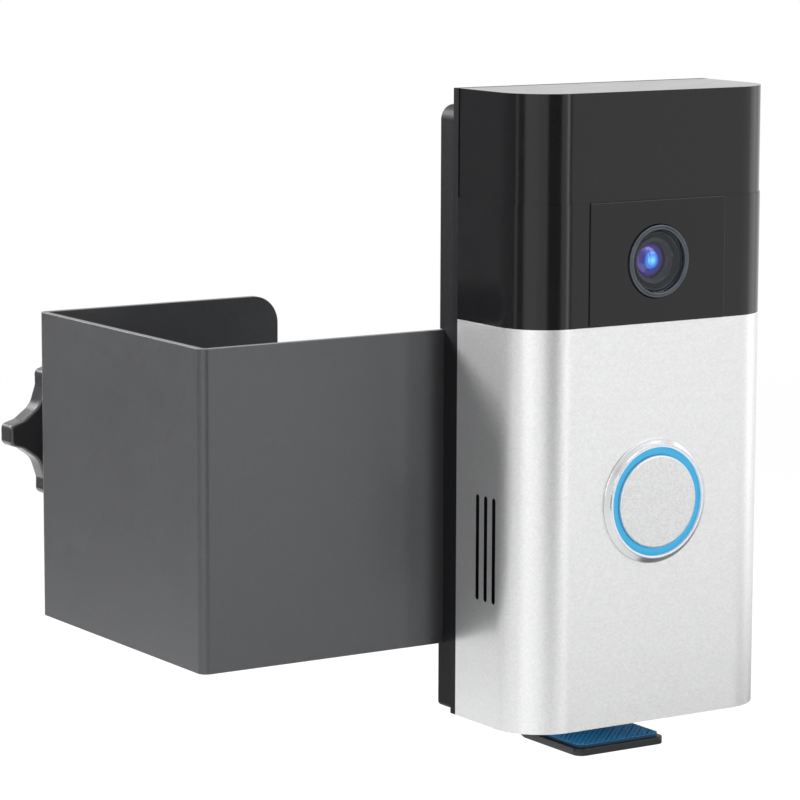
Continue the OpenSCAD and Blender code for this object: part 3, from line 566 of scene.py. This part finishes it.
def ease_node(node, radius, material, segments=2):
    """Finished copy of one CAD node with softened edges."""
    return stand_for(node, "_finished", eased(node, radius, segments), material)


def filleted(points, radii, steps=5, closed=False):
    """Polyline whose corners are replaced by arcs of the given radii."""
    out = []
    count = len(points)
    for i, (corner, radius) in enumerate(zip(points, radii)):
        if radius <= 0 or (not closed and i in (0, count - 1)):
            out.append(tuple(corner))
            continue
        here = Vector(corner)
        back = Vector(points[i - 1]) - here
        ahead = Vector(points[(i + 1) % count]) - here
        turn = back.angle(ahead)
        reach = min(radius / math.tan(turn / 2), back.length * 0.49, ahead.length * 0.49)
        true_radius = reach * math.tan(turn / 2)
        start = here + back.normalized() * reach
        end = here + ahead.normalized() * reach
        inward = (back.normalized() + ahead.normalized()).normalized()
        centre = here + inward * (true_radius / math.sin(turn / 2))
        for k in range(steps + 1):
            share = k / steps
            mixed = (start - centre).lerp(end - centre, share)
            out.append(tuple(centre + mixed.normalized() * true_radius))
    return out


def lathe(name, profile, centre, segments=128, closed=True):
    """Turns (radius, y) points about an axis along Y."""
    bm = bmesh.new()
    rings = []
    for radius, y in profile:
        if radius < 1e-7:
            rings.append([bm.verts.new((centre[0], y, centre[1]))])
            continue
        rings.append([bm.verts.new((centre[0] + radius * math.cos(TAU * k / segments), y,
                                    centre[1] + radius * math.sin(TAU * k / segments)))
                      for k in range(segments)])
    pairs = list(zip(rings, rings[1:]))
    if closed:
        pairs.append((rings[-1], rings[0]))
    for first, second in pairs:
        join_rings(bm, first, second)
    return mesh_from(bm, name)


def join_rings(bm, first, second):
    """Bridges two rings of vertices, either of which may be a single point."""
    if len(first) == 1 and len(second) == 1:
        return
    count = max(len(first), len(second))
    for k in range(count):
        corners = [first[k % len(first)], first[(k + 1) % len(first)],
                   second[(k + 1) % len(second)], second[k % len(second)]]
        unique = list(dict.fromkeys(corners))
        bm.faces.new(unique)


def turned_piece(node, points, radii, centre, material, steps=4, segments=128):
    """Turned piece that stands for a CAD node; points are (radius, y) in metres."""
    profile = filleted(points, radii, steps, closed=True)
    profile = [(max(r, 0.0), y) for r, y in profile]
    return stand_for(node, "_turned", lathe(node, profile, centre, segments), material)


# ---------------------------------------------------------------- the pieces, one function each

def make_shells():
    edge = sizes().shell_edge
    ease_node("faceplate", edge, faceplate_metal(), 3)
    ease_node("camera_housing", 0.18 * MM, finish("gloss_black"), 2)
    ease_node("top_cap", edge, finish("gloss_black"), 3)
    ease_node("camera_panel", 0.2 * MM, finish("panel_black"), 3)
    ease_node("rear_housing", 0.2 * MM, finish("housing_black"), 2)


def make_tray():
    ease_node("mount_tray", 0.5 * MM, finish("tray_black"), 3)
    ease_node("wall_plate", 0.2 * MM, finish("tray_black"), 2)


def make_door_pads():
    for node in ("upper_door_pad", "lower_door_pads"):
        ease_node(node, 0.3 * MM, finish("soft_black"), 3)


# Lens ring: outer and inner radius of its rim, the ledge under the window, and the groove in its front
RING_OUTER = 7.25 * MM
RING_INNER = 6.25 * MM
RING_LEDGE = 5.65 * MM
RING_FLANGE = 0.8 * MM
GROOVE_HALF = 0.12 * MM
GROOVE_DEPTH = 0.16 * MM


def make_lens_ring():
    """Lens ring around the window, with a fine groove in its rim and a flange behind the panel."""
    lo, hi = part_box("lens_ring")
    flange = (hi[0] - lo[0]) / 2
    front = lo[1]
    back = hi[1]
    flange_front = back - RING_FLANGE
    seat = LENS_BOX[1][1]
    middle = (RING_OUTER + RING_INNER) / 2
    small = 0.1 * MM
    tiny = 0.05 * MM
    points = [(flange, back), (flange, flange_front), (RING_OUTER, flange_front), (RING_OUTER, front),
              (middle + GROOVE_HALF, front), (middle, front + GROOVE_DEPTH),
              (middle - GROOVE_HALF, front), (RING_INNER, front), (RING_INNER, seat),
              (RING_LEDGE, seat), (RING_LEDGE, back)]
    radii = [small, small, 0, 0.28 * MM, tiny, tiny, tiny, 0.2 * MM, 0, small, small]
    turned_piece("lens_ring", points, radii, LENS, finish("ring_black"))


def make_window():
    """Flat window with eased edges, set in the lens ring."""
    lo, hi = LENS_BOX
    edge = 0.12 * MM
    points = [(0, hi[1]), (RING_INNER, hi[1]), (RING_INNER, lo[1]), (0, lo[1])]
    turned_piece("lens_window", points, [0, edge, edge, 0], LENS, window_glass())


def make_lens():
    make_lens_ring()
    make_window()
    make_barrel()
    make_front_lens()


def make_barrel():
    """Barrel whose mouth steps down in rings to the front element."""
    lo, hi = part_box("lens_barrel")
    mouth = 4.6 * MM
    bore = 3.55 * MM
    step = 0.22 * MM
    rings = 4
    points = [(mouth - 0.3 * MM, hi[1]), (mouth, hi[1]), (mouth, lo[1])]
    radii = [0, 0.1 * MM, 0.2 * MM]
    for k in range(rings):
        radius = mouth - (k + 1) * (mouth - bore) / (rings + 1)
        points += [(radius, lo[1] + k * step), (radius, lo[1] + (k + 1) * step)]
        radii += [0.04 * MM, 0.04 * MM]
    points += [(bore, lo[1] + (rings + 1) * step), (bore, hi[1] - MM), (2.5 * MM, hi[1])]
    radii += [0, 0, 0]
    turned_piece("lens_barrel", points, radii, LENS, finish("lens_black"))


def make_front_lens():
    """Domed front element with a shallow crown."""
    lo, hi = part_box("front_lens")
    radius = 3.5 * MM
    rise = 1.3 * MM
    rim_y = lo[1] + rise
    points = [(0.0, hi[1]), (radius, hi[1]), (radius, rim_y)]
    steps = 14
    crown = (radius ** 2 + rise ** 2) / (2 * rise)
    for k in range(1, steps + 1):
        r = radius * (1 - k / steps)
        points.append((r, lo[1] + crown - math.sqrt(crown ** 2 - r ** 2)))
    mesh = lathe("front_lens", points, LENS, 96, closed=False)
    stand_for("front_lens", "_turned", mesh, lens_coating_and_painted_glow())


# Button: how far the white rim, a painted highlight on the bezel's inner rim, and the lit ring differ from
# the frame's, so that the rim shows
PAINTED_HIGHLIGHT_RIM_WIDER = 0.12 * MM
LIGHT_NARROWER = 0.1 * MM
CAP_FLANGE = 0.6 * MM
CAP_WALL = 1.5 * MM
CAP_POST = 1.6 * MM


def half_width(node):
    """Radius of a round CAD node, from its box."""
    lo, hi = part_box(node)
    return (hi[0] - lo[0]) / 2


def make_bezel(inner):
    """Turned bezel with an upright foot, a sloping band and a narrow top rim."""
    lo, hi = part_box("button_bezel")
    base = half_width("button_bezel")
    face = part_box("faceplate")[0][1]
    top = lo[1]
    skirt = inner + 0.6 * MM
    buried = face + 0.2 * MM
    points = [(inner, hi[1]), (skirt, hi[1]), (skirt, buried), (base, buried), (base, face - 0.3 * MM),
              (base - 0.45 * MM, face - 0.65 * MM), (inner + 0.25 * MM, top + 0.25 * MM),
              (inner + 0.12 * MM, top), (inner, top)]
    radii = [0, 0.1 * MM, 0, 0, 0.25 * MM, 0.2 * MM, 0.12 * MM, 0.05 * MM, 0.03 * MM]
    turned_piece("button_bezel", points, radii, BUTTON, finish("bezel_metal"))


def make_light(light, rim, inside):
    """White rim, a painted highlight on the bezel's inner rim, and the slightly domed lit ring within it."""
    lo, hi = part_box("button_lip")
    points = [(light, hi[1]), (rim, hi[1]), (rim, lo[1]), (light, lo[1])]
    turned_piece("button_lip", points, [0, 0, 0.05 * MM, 0.07 * MM], BUTTON, finish("white_plastic_and_rim_highlight"))
    lo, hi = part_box("light_ring")
    crown = lo[1] + 0.12 * MM
    points = [(inside, hi[1]), (light, hi[1]), (light, crown), ((light + inside) / 2, lo[1]), (inside, crown)]
    turned_piece("light_ring", points, [0, 0, 0.05 * MM, 0.9 * MM, 0.1 * MM], BUTTON, lit_ring())


def make_cap(cap):
    """Hollow disc that is pressed, with a flange that keeps it in and a post for the switch."""
    lo, hi = BUTTON_BOX
    front = lo[1]
    back = hi[1]
    flange = half_width("button_cap")
    hollow = cap - CAP_WALL
    ceiling = front + CAP_WALL
    flange_back = back - 2 * MM
    flange_front = back - 3 * MM
    points = [(0.0, back), (CAP_POST, back), (CAP_POST, ceiling), (hollow, ceiling), (hollow, flange_back),
              (flange, flange_back), (flange, flange_front), (cap, flange_front), (cap, front), (0.0, front)]
    radii = [0, 0.1 * MM, 0.2 * MM, 0.2 * MM, 0, 0.1 * MM, 0.1 * MM, 0, 0.3 * MM, 0]
    turned_piece("button_cap", points, radii, BUTTON, finish("disc_metal"))


def make_button():
    # The white rim stands where the bezel's inner rim has its highlight: a painted highlight.
    rim = half_width("button_lip") + PAINTED_HIGHLIGHT_RIM_WIDER
    light = half_width("light_ring") - LIGHT_NARROWER
    cap = half_width("button_cap") - CAP_FLANGE
    make_bezel(rim)
    make_light(light, rim, cap + 0.1 * MM)
    make_cap(cap)


def make_clamp():
    edge = sizes().sheet_edge
    ease_node("clamp_bracket", edge, finish("clamp_paint"), 3)
    ease_node("weld_nut", 0.3 * MM, finish("zinc_steel"), 2)


def make_guard_tab():
    ease_node("guard_tab", sizes().sheet_edge, finish("tab_paint"), 2)
    lo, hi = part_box("tab_pad")
    pad = stand_for("tab_pad", "_diamond", diamond_pad("tab_pad", lo, hi), blue_pad_with_painted_shade())


def diamond_pad(name, lo, hi):
    """Pad with round corners and rows of small raised diamonds on its top."""
    pitch = sizes().pad_pitch
    corner = 1.8 * MM
    relief = 0.3 * MM
    smooth_rim = 0.6 * MM
    step = 0.2 * MM
    across = int((hi[0] - lo[0]) / step)
    along = int((hi[1] - lo[1]) / step)
    bm = bmesh.new()
    top = {}
    for i in range(across + 1):
        for j in range(along + 1):
            x = lo[0] + (hi[0] - lo[0]) * i / across
            y = lo[1] + (hi[1] - lo[1]) * j / along
            side = min(x - lo[0], hi[0] - x)
            end = min(y - lo[1], hi[1] - y)
            if side < corner and end < corner:
                inset = Vector((corner - side, corner - end))
                if inset.length > corner:
                    inset = inset.normalized() * corner
                    x = lo[0] + corner - inset.x if x < (lo[0] + hi[0]) / 2 else hi[0] - corner + inset.x
                    y = lo[1] + corner - inset.y if y < (lo[1] + hi[1]) / 2 else hi[1] - corner + inset.y
            first = abs(math.sin(math.pi * (x + y) / pitch))
            second = abs(math.sin(math.pi * (x - y) / pitch))
            rim = min(1.0, min(side, end) / smooth_rim)
            z = hi[2] - relief * (1 - min(first, second) ** 0.5 * rim)
            top[i, j] = bm.verts.new((x, y, z))
    for i in range(across):
        for j in range(along):
            bm.faces.new([top[i, j], top[i + 1, j], top[i + 1, j + 1], top[i, j + 1]])
    border = ([(i, 0) for i in range(across)] + [(across, j) for j in range(along)]
              + [(i, along) for i in range(across, 0, -1)] + [(0, j) for j in range(along, 0, -1)])
    low = [bm.verts.new((top[k].co.x, top[k].co.y, lo[2])) for k in border]
    count = len(border)
    for k in range(count):
        ring = [top[border[k]], low[k], low[(k + 1) % count], top[border[(k + 1) % count]]]
        bm.faces.new(ring)
    bm.faces.new(list(reversed(low)))
    return mesh_from(bm, name)


# Knob: its lobes, the radius between two of them and their reach, in millimetres, and other sizes
LOBES = 5
VALLEY = 9.6
REACH = 14.4
KNOB_ROUND = 0.8 * MM
KNOB_HUB = 6.5 * MM
KNOB_HUB_HEIGHT = 3 * MM
KNOB_BORE = 3.05 * MM


def star_outline():
    """Knob's outline: square-ended lobes on a hollow-sided body."""
    points = []
    radii = []
    half = TAU / LOBES / 2
    sector = [((VALLEY * math.cos(half), -VALLEY * math.sin(half)), 4.5), ((11.4, -3.0), 2.2),
              ((REACH, -2.1), 1.3), ((REACH, 2.1), 1.3), ((11.4, 3.0), 2.2)]
    for k in range(LOBES):
        turn = math.pi + k * TAU / LOBES
        for (x, y), radius in sector:
            points.append(((x * math.cos(turn) - y * math.sin(turn)) * MM,
                           (x * math.sin(turn) + y * math.cos(turn)) * MM))
            radii.append(radius * MM)
    return filleted(points, radii, 6, closed=True)


def inset_outline(outline, inset):
    """Outline moved inward along its own normals."""
    count = len(outline)
    moved = []
    for k in range(count):
        before = Vector(outline[k - 1])
        after = Vector(outline[(k + 1) % count])
        along = (after - before).normalized()
        moved.append((outline[k][0] - along.y * inset, outline[k][1] + along.x * inset))
    return moved


def make_knob():
    """Moulded star with round rims, a raised hub in front and a dished cap behind."""
    lo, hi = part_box("star_knob")
    outline = star_outline()
    star_front = lo[1] + KNOB_HUB_HEIGHT
    back = hi[1]
    quarter = [math.pi / 2 * k / 4 for k in range(5)]
    front_rim = [(star_front + KNOB_ROUND * (1 - math.cos(t)), KNOB_ROUND * (1 - math.sin(t)))
                 for t in quarter]
    back_rim = [(star_front + back - y, inset) for y, inset in reversed(front_rim)]
    bm = bmesh.new()
    rings = [[bm.verts.new((KNOB[0] + x, y, KNOB[1] + z)) for x, z in inset_outline(outline, inset)]
             for y, inset in front_rim + back_rim]
    for first, second in zip(rings, rings[1:]):
        join_rings(bm, first, second)
    hub = [(KNOB_HUB + 1.2 * MM, star_front), (KNOB_HUB, star_front - 0.6 * MM),
           (KNOB_HUB - 0.3 * MM, lo[1] + 0.3 * MM), (KNOB_HUB - 0.9 * MM, lo[1]), (KNOB_BORE, lo[1]),
           (KNOB_BORE, star_front + MM)]
    dish = [(8.0 * MM, back), (7.6 * MM, back - 0.5 * MM), (6.6 * MM, back - 0.6 * MM),
            (6.2 * MM, back - 0.2 * MM), (0.0, back)]
    fan_cap(bm, rings[0], hub)
    fan_cap(bm, rings[-1], dish)
    stand_for("star_knob", "_moulded", mesh_from(bm, "star_knob"), finish("knob_black"))


def fan_cap(bm, ring, profile):
    """Closes an outline ring with turned rings of the same count about the knob's axis."""
    count = len(ring)
    angles = [math.atan2(v.co.z - KNOB[1], v.co.x - KNOB[0]) for v in ring]
    last = ring
    for radius, y in profile:
        if radius < 1e-7:
            tip = bm.verts.new((KNOB[0], y, KNOB[1]))
            for k in range(count):
                bm.faces.new([last[k], last[(k + 1) % count], tip])
            return
        new = [bm.verts.new((KNOB[0] + radius * math.cos(a), y, KNOB[1] + radius * math.sin(a)))
               for a in angles]
        for k in range(count):
            bm.faces.new([last[k], last[(k + 1) % count], new[(k + 1) % count], new[k]])
        last = new
    bm.faces.new(last)


def make_stud():
    """Threaded stud with a rolled thread and the collar that turns in the foot."""
    lo, hi = STUD_BOX
    pitch = sizes().thread_pitch
    crest = 3.0 * MM
    depth = 0.5 * MM
    collar_r = (hi[0] - lo[0]) / 2
    collar_end = lo[1] + 1.8 * MM
    segments = 40
    rows_per_turn = 8
    start = collar_end + 2.2 * MM
    rows = int((hi[1] - start) / pitch * rows_per_turn)
    bm = bmesh.new()
    rings = []
    plain = [(collar_r - 0.2 * MM, lo[1]), (collar_r, lo[1] + 0.2 * MM), (collar_r, collar_end - 0.2 * MM),
             (collar_r - 0.2 * MM, collar_end), (crest, collar_end), (crest, start)]
    for radius, y in plain:
        rings.append(stud_ring(bm, [radius] * segments, y))
    for row in range(1, rows + 1):
        y = start + (hi[1] - start) * row / rows
        fade = min(1.0, row / rows_per_turn)
        wave = []
        for k in range(segments):
            phase = ((y - start) / pitch - k / segments) % 1.0
            wave.append(crest - depth * fade * max(0.0, 1 - abs(2 * phase - 1) * 1.15))
        rings.append(stud_ring(bm, wave, y))
    for first, second in zip(rings, rings[1:]):
        join_rings(bm, first, second)
    bm.faces.new(rings[0])
    bm.faces.new(rings[-1])
    mesh = mesh_from(bm, "knob_stud")
    stand_for("knob_stud", "_threaded", mesh, finish("zinc_steel"))


def stud_ring(bm, radii, y):
    """Circle of vertices about the knob's axis, with its own radius at each angle."""
    angles = [TAU * k / len(radii) for k in range(len(radii))]
    return [bm.verts.new((KNOB[0] + r * math.cos(a), y, KNOB[1] + r * math.sin(a)))
            for r, a in zip(radii, angles)]


def make_foot():
    small = sizes().small_edge
    ease_node("pressure_plate", 0.4 * MM, finish("foot_black"), 3)
    ease_node("swivel_cap", 0.3 * MM, finish("zinc_steel"), 2)
    ease_node("pressure_pad", small, finish("soft_black"), 2)


FASTENERS = ["tray_rivets", "tab_rivets", "plate_screws", "security_screw", "housing_screws",
             "terminal_screws"]


def make_fasteners():
    small = sizes().small_edge
    for node in FASTENERS:
        ease_node(node, small, finish("zinc_steel"), 2)


INNER_FINISHES = {
    "image_sensor": "board_green", "infrared_leds": "lamp_resin", "motion_sensor": "zinc_steel",
    "motion_lens": "white_plastic_and_rim_highlight", "main_board": "board_green", "board_screws": "zinc_steel",
    "wifi_module": "zinc_steel", "processor": "chip_black", "microphone": "contact_brass",
    "battery": "battery_wrap", "battery_foam": "soft_black", "speaker": "chip_black",
    "speaker_gasket": "soft_black", "switch_stem": "chip_black", "switch_body": "chip_black",
    "led_board": "board_green", "ring_leds": "lamp_resin", "terminal_board": "board_green",
    "terminal_bushes": "contact_brass", "charging_port": "zinc_steel",
}


def finish_inner_parts():
    """Gives each CAD node that stays its own finish."""
    for node, key in INNER_FINISHES.items():
        for entry in frame["nodes"][node].material_slots:
            entry.material = finish(key)


# ---------------------------------------------------------------- stage

def softbox(name, place, target, width, height, power):
    """Area lamp aimed at a target, not seen by the camera itself."""
    lamp = bpy.data.lights.new(name, "AREA")
    lamp.shape = "RECTANGLE"
    lamp.size = width
    lamp.size_y = height
    lamp.energy = power
    holder = bpy.data.objects.new(name, lamp)
    holder.location = place
    holder.rotation_euler = (Vector(target) - Vector(place)).to_track_quat("-Z", "Y").to_euler()
    bpy.context.scene.collection.objects.link(holder)
    holder.visible_camera = False


def ring_place(bearing, distance, height):
    """Place on a circle round the doorbell; bearing 0 is towards -X and 90 towards -Y."""
    angle = math.radians(bearing)
    return (-distance * math.cos(angle), -distance * math.sin(angle), height)


def dark_card(name, bearing, distance, width, low, high, shade):
    """Dark card standing on the floor."""
    centre = Vector(ring_place(bearing, distance, 0))
    side = Vector((-centre.y, centre.x, 0)).normalized() * (width / 2)
    stage_card(name, [centre - side + Vector((0, 0, low)), centre + side + Vector((0, 0, low)),
                      centre + side + Vector((0, 0, high)), centre - side + Vector((0, 0, high))], shade)


def low_card(name, centre, spans, shade):
    """Dark card lying on the floor."""
    middle = Vector(centre)
    right = Vector((spans[0] / 2, 0, 0))
    ahead = Vector((0, spans[1] / 2, 0))
    stage_card(name, [middle - right - ahead, middle + right - ahead, middle + right + ahead,
                      middle - right + ahead], shade)


def stage_card(name, corners, shade):
    """Dark studio card that is seen only in reflections."""
    bm = bmesh.new()
    bm.faces.new([bm.verts.new(c) for c in corners])
    card = bpy.data.objects.new(name, mesh_from(bm, name))
    card_paint = finish_material("Card " + name, (shade,) * 3, 1.0, 0.0, (60.0, 1.0), 0.1, 0.0)
    card.data.materials.append(card_paint)
    bpy.context.scene.collection.objects.link(card)
    card.visible_camera = False
    card.visible_diffuse = False
    card.visible_shadow = False


def seen_rays(tree):
    """1 for rays from the camera, off gloss or through glass, which see plain white."""
    path = tree.nodes.new("ShaderNodeLightPath")
    seen = math_node(tree, "MAXIMUM", path.outputs["Is Camera Ray"], path.outputs["Is Glossy Ray"])
    return math_node(tree, "MAXIMUM", seen, path.outputs["Is Transmission Ray"])


def floor_material():
    """Pale floor that shows white to the camera and to gloss, and keeps its shadows."""
    material = finish_material("Pale floor", (0.82, 0.82, 0.82), 0.9, 0.0, (40.0, 1.0), 0.02, 0.0)
    tree = material.node_tree
    shader = tree.nodes["Principled BSDF"]
    end = tree.nodes["Material Output"]
    seen = seen_rays(tree)
    white = tree.nodes.new("ShaderNodeEmission")
    white.inputs["Color"].default_value = (1, 1, 1, 1)
    white.inputs["Strength"].default_value = 1.0
    blend = tree.nodes.new("ShaderNodeMixShader")
    tree.links.new(math_node(tree, "MULTIPLY", seen, floor_whiteness(tree)), blend.inputs[0])
    tree.links.new(shader.outputs[0], blend.inputs[1])
    tree.links.new(white.outputs[0], blend.inputs[2])
    tree.links.new(blend.outputs[0], end.inputs["Surface"])
    return material


def floor_whiteness(tree):
    """Share of plain white in the floor: less near the object, where its shadow lies."""
    reach = tree.nodes.new("ShaderNodeVectorMath")
    reach.operation = "LENGTH"
    tree.links.new(place_coords(tree), reach.inputs[0])
    share = tree.nodes.new("ShaderNodeMapRange")
    share.inputs["From Min"].default_value = 0.3
    share.inputs["From Max"].default_value = 1.2
    share.inputs["To Min"].default_value = 0.75
    share.inputs["To Max"].default_value = 1.0
    tree.links.new(reach.outputs["Value"], share.inputs["Value"])
    return share.outputs[0]


def make_floor():
    z = -sizes().floor_drop
    half = 14.0
    bm = bmesh.new()
    corners = ((-half, -half), (half, -half), (half, half), (-half, half))
    bm.faces.new([bm.verts.new((x, y, z)) for x, y in corners])
    floor = bpy.data.objects.new("floor", mesh_from(bm, "floor"))
    floor.data.materials.append(floor_material())
    bpy.context.scene.collection.objects.link(floor)


def make_world():
    world = bpy.data.worlds.new("Studio")
    world.use_nodes = True
    tree = world.node_tree
    background = tree.nodes["Background"]
    background.inputs["Color"].default_value = (0.9, 0.93, 1.0, 1)
    background.inputs["Strength"].default_value = 0.35
    white = tree.nodes.new("ShaderNodeBackground")
    white.inputs["Color"].default_value = (1, 1, 1, 1)
    white.inputs["Strength"].default_value = 1.0
    seen = seen_rays(tree)
    blend = tree.nodes.new("ShaderNodeMixShader")
    tree.links.new(seen, blend.inputs[0])
    tree.links.new(background.outputs[0], blend.inputs[1])
    tree.links.new(white.outputs[0], blend.inputs[2])
    tree.links.new(blend.outputs[0], tree.nodes["World Output"].inputs["Surface"])
    bpy.context.scene.world = world


def make_camera():
    setup = sizes()
    yaw, pitch, roll = setup.camera_yaw, setup.camera_pitch, setup.camera_roll
    ahead = Vector((math.sin(yaw) * math.cos(pitch), math.cos(yaw) * math.cos(pitch), -math.sin(pitch)))
    flat_right = Vector((math.cos(yaw), -math.sin(yaw), 0))
    flat_up = flat_right.cross(ahead)
    right = math.cos(roll) * flat_right + math.sin(roll) * flat_up
    up = math.cos(roll) * flat_up - math.sin(roll) * flat_right
    data = bpy.data.cameras.new("camera")
    data.sensor_width = 36.0
    data.lens = setup.focal_length
    data.clip_start = 0.05
    data.clip_end = 60.0
    camera = bpy.data.objects.new("camera", data)
    turn = camera.matrix_world.to_3x3()
    turn.col[0] = right
    turn.col[1] = up
    turn.col[2] = -ahead
    camera.matrix_world = turn.to_4x4()
    camera.location = Vector(setup.camera_place)
    bpy.context.scene.collection.objects.link(camera)
    bpy.context.scene.camera = camera


def make_lights():
    middle = (0, -0.02, 0)
    softbox("key_softbox", (0.75, -1.05, 0.75), middle, 0.9, 0.9, 5.5)
    softbox("left_softbox", (-1.15, -0.25, 0.45), (-0.05, 0.02, -0.02), 0.7, 0.7, 4)
    softbox("rear_left_softbox", ring_place(-52, 0.85, 0.5), (-0.08, 0.03, 0), 0.6, 0.3, 24)
    softbox("top_softbox", (0.0, 0.1, 1.2), middle, 1.0, 1.0, 4.0)
    softbox("corner_strip", ring_place(109, 0.6, 0.1), (0, 0, 0.1), 0.05, 0.5, 0.26)
    softbox("left_strip", ring_place(33, 0.6, 0.1), (0, 0, 0.1), 0.28, 0.5, 0.06)
    softbox("right_strip", ring_place(170, 0.6, 0.1), (0, 0, 0.1), 0.25, 0.5, 0.25)
    low = -sizes().floor_drop
    dark_card("back_left", -45, 0.5, 0.85, low, 0.42, 0.14)
    dark_card("front_left", 79, 0.66, 0.34, low, 0.42, 0.05)
    dark_card("left_gap", 8, 0.62, 0.16, low, 0.42, 0.05)
    dark_card("corner_gap", 112, 0.66, 0.14, low, 0.42, 0.12)
    low_card("under_right", (0.25, 0.0, low + MM), (0.42, 0.5), 0.12)


# ---------------------------------------------------------------- operators, panel and main

def make_stage():
    scene = bpy.context.scene
    scene.view_settings.view_transform = "Standard"
    make_camera()
    make_world()
    make_floor()
    make_lights()


class DOORBELL_OT_stage(bpy.types.Operator):
    """Floor, camera, lamps and background."""
    bl_idname = "doorbell.stage"
    bl_label = "Stage"

    def execute(self, context):
        make_stage()
        return {"FINISHED"}


class DOORBELL_OT_shells(bpy.types.Operator):
    """Faceplate, camera section, top cap, panel and rear housing."""
    bl_idname = "doorbell.shells"
    bl_label = "Shells"

    def execute(self, context):
        make_shells()
        return {"FINISHED"}


class DOORBELL_OT_tray(bpy.types.Operator):
    """Mounting tray and wall plate."""
    bl_idname = "doorbell.tray"
    bl_label = "Tray"

    def execute(self, context):
        make_tray()
        return {"FINISHED"}


class DOORBELL_OT_door_pads(bpy.types.Operator):
    """Foam pads that lie on the door."""
    bl_idname = "doorbell.door_pads"
    bl_label = "Door pads"

    def execute(self, context):
        make_door_pads()
        return {"FINISHED"}


class DOORBELL_OT_lens(bpy.types.Operator):
    """Lens ring, window, barrel and front element."""
    bl_idname = "doorbell.lens"
    bl_label = "Lens"

    def execute(self, context):
        make_lens()
        return {"FINISHED"}


class DOORBELL_OT_button(bpy.types.Operator):
    """Bezel, white rim, lit ring and pressed disc."""
    bl_idname = "doorbell.button"
    bl_label = "Button"

    def execute(self, context):
        make_button()
        return {"FINISHED"}


class DOORBELL_OT_clamp(bpy.types.Operator):
    """Bent sheet-steel clamp and its weld nut."""
    bl_idname = "doorbell.clamp"
    bl_label = "Clamp"

    def execute(self, context):
        make_clamp()
        return {"FINISHED"}


class DOORBELL_OT_guard_tab(bpy.types.Operator):
    """Tab under the doorbell and its blue pad."""
    bl_idname = "doorbell.guard_tab"
    bl_label = "Guard tab"

    def execute(self, context):
        make_guard_tab()
        return {"FINISHED"}


class DOORBELL_OT_knob(bpy.types.Operator):
    """Moulded star knob."""
    bl_idname = "doorbell.knob"
    bl_label = "Knob"

    def execute(self, context):
        make_knob()
        return {"FINISHED"}


class DOORBELL_OT_stud(bpy.types.Operator):
    """Threaded stud."""
    bl_idname = "doorbell.stud"
    bl_label = "Stud"

    def execute(self, context):
        make_stud()
        return {"FINISHED"}


class DOORBELL_OT_foot(bpy.types.Operator):
    """Pressure plate, swivel cap and rubber pad."""
    bl_idname = "doorbell.foot"
    bl_label = "Foot"

    def execute(self, context):
        make_foot()
        return {"FINISHED"}


class DOORBELL_OT_fasteners(bpy.types.Operator):
    """Rivets and screws."""
    bl_idname = "doorbell.fasteners"
    bl_label = "Fasteners"

    def execute(self, context):
        make_fasteners()
        return {"FINISHED"}


class DOORBELL_OT_inner_parts(bpy.types.Operator):
    """Finishes of the parts inside the housing."""
    bl_idname = "doorbell.inner_parts"
    bl_label = "Inner parts"

    def execute(self, context):
        finish_inner_parts()
        return {"FINISHED"}


OPERATORS = [
    DOORBELL_OT_stage,
    DOORBELL_OT_shells,
    DOORBELL_OT_tray,
    DOORBELL_OT_door_pads,
    DOORBELL_OT_lens,
    DOORBELL_OT_button,
    DOORBELL_OT_clamp,
    DOORBELL_OT_guard_tab,
    DOORBELL_OT_knob,
    DOORBELL_OT_stud,
    DOORBELL_OT_foot,
    DOORBELL_OT_fasteners,
    DOORBELL_OT_inner_parts,
]


class DOORBELL_PT_pieces(bpy.types.Panel):
    """Lists the building steps."""
    bl_idname = "DOORBELL_PT_pieces"
    bl_label = "Doorbell"
    bl_space_type = "VIEW_3D"
    bl_region_type = "UI"
    bl_category = "Doorbell"

    def draw(self, context):
        for operator in OPERATORS:
            self.layout.operator(operator.bl_idname)


CLASSES = [DoorbellSizes, DoorbellColours, *OPERATORS, DOORBELL_PT_pieces]


def register():
    for item in CLASSES:
        bpy.utils.register_class(item)
    bpy.types.Scene.doorbell_sizes = bpy.props.PointerProperty(type=DoorbellSizes)
    bpy.types.Scene.doorbell_colours = bpy.props.PointerProperty(type=DoorbellColours)


def unregister():
    del bpy.types.Scene.doorbell_colours
    del bpy.types.Scene.doorbell_sizes
    for item in reversed(CLASSES):
        bpy.utils.unregister_class(item)


def main():
    register()
    for operator in OPERATORS:
        group, name = operator.bl_idname.split(".")
        getattr(getattr(bpy.ops, group), name)()


if __name__ == "__main__":
    main()
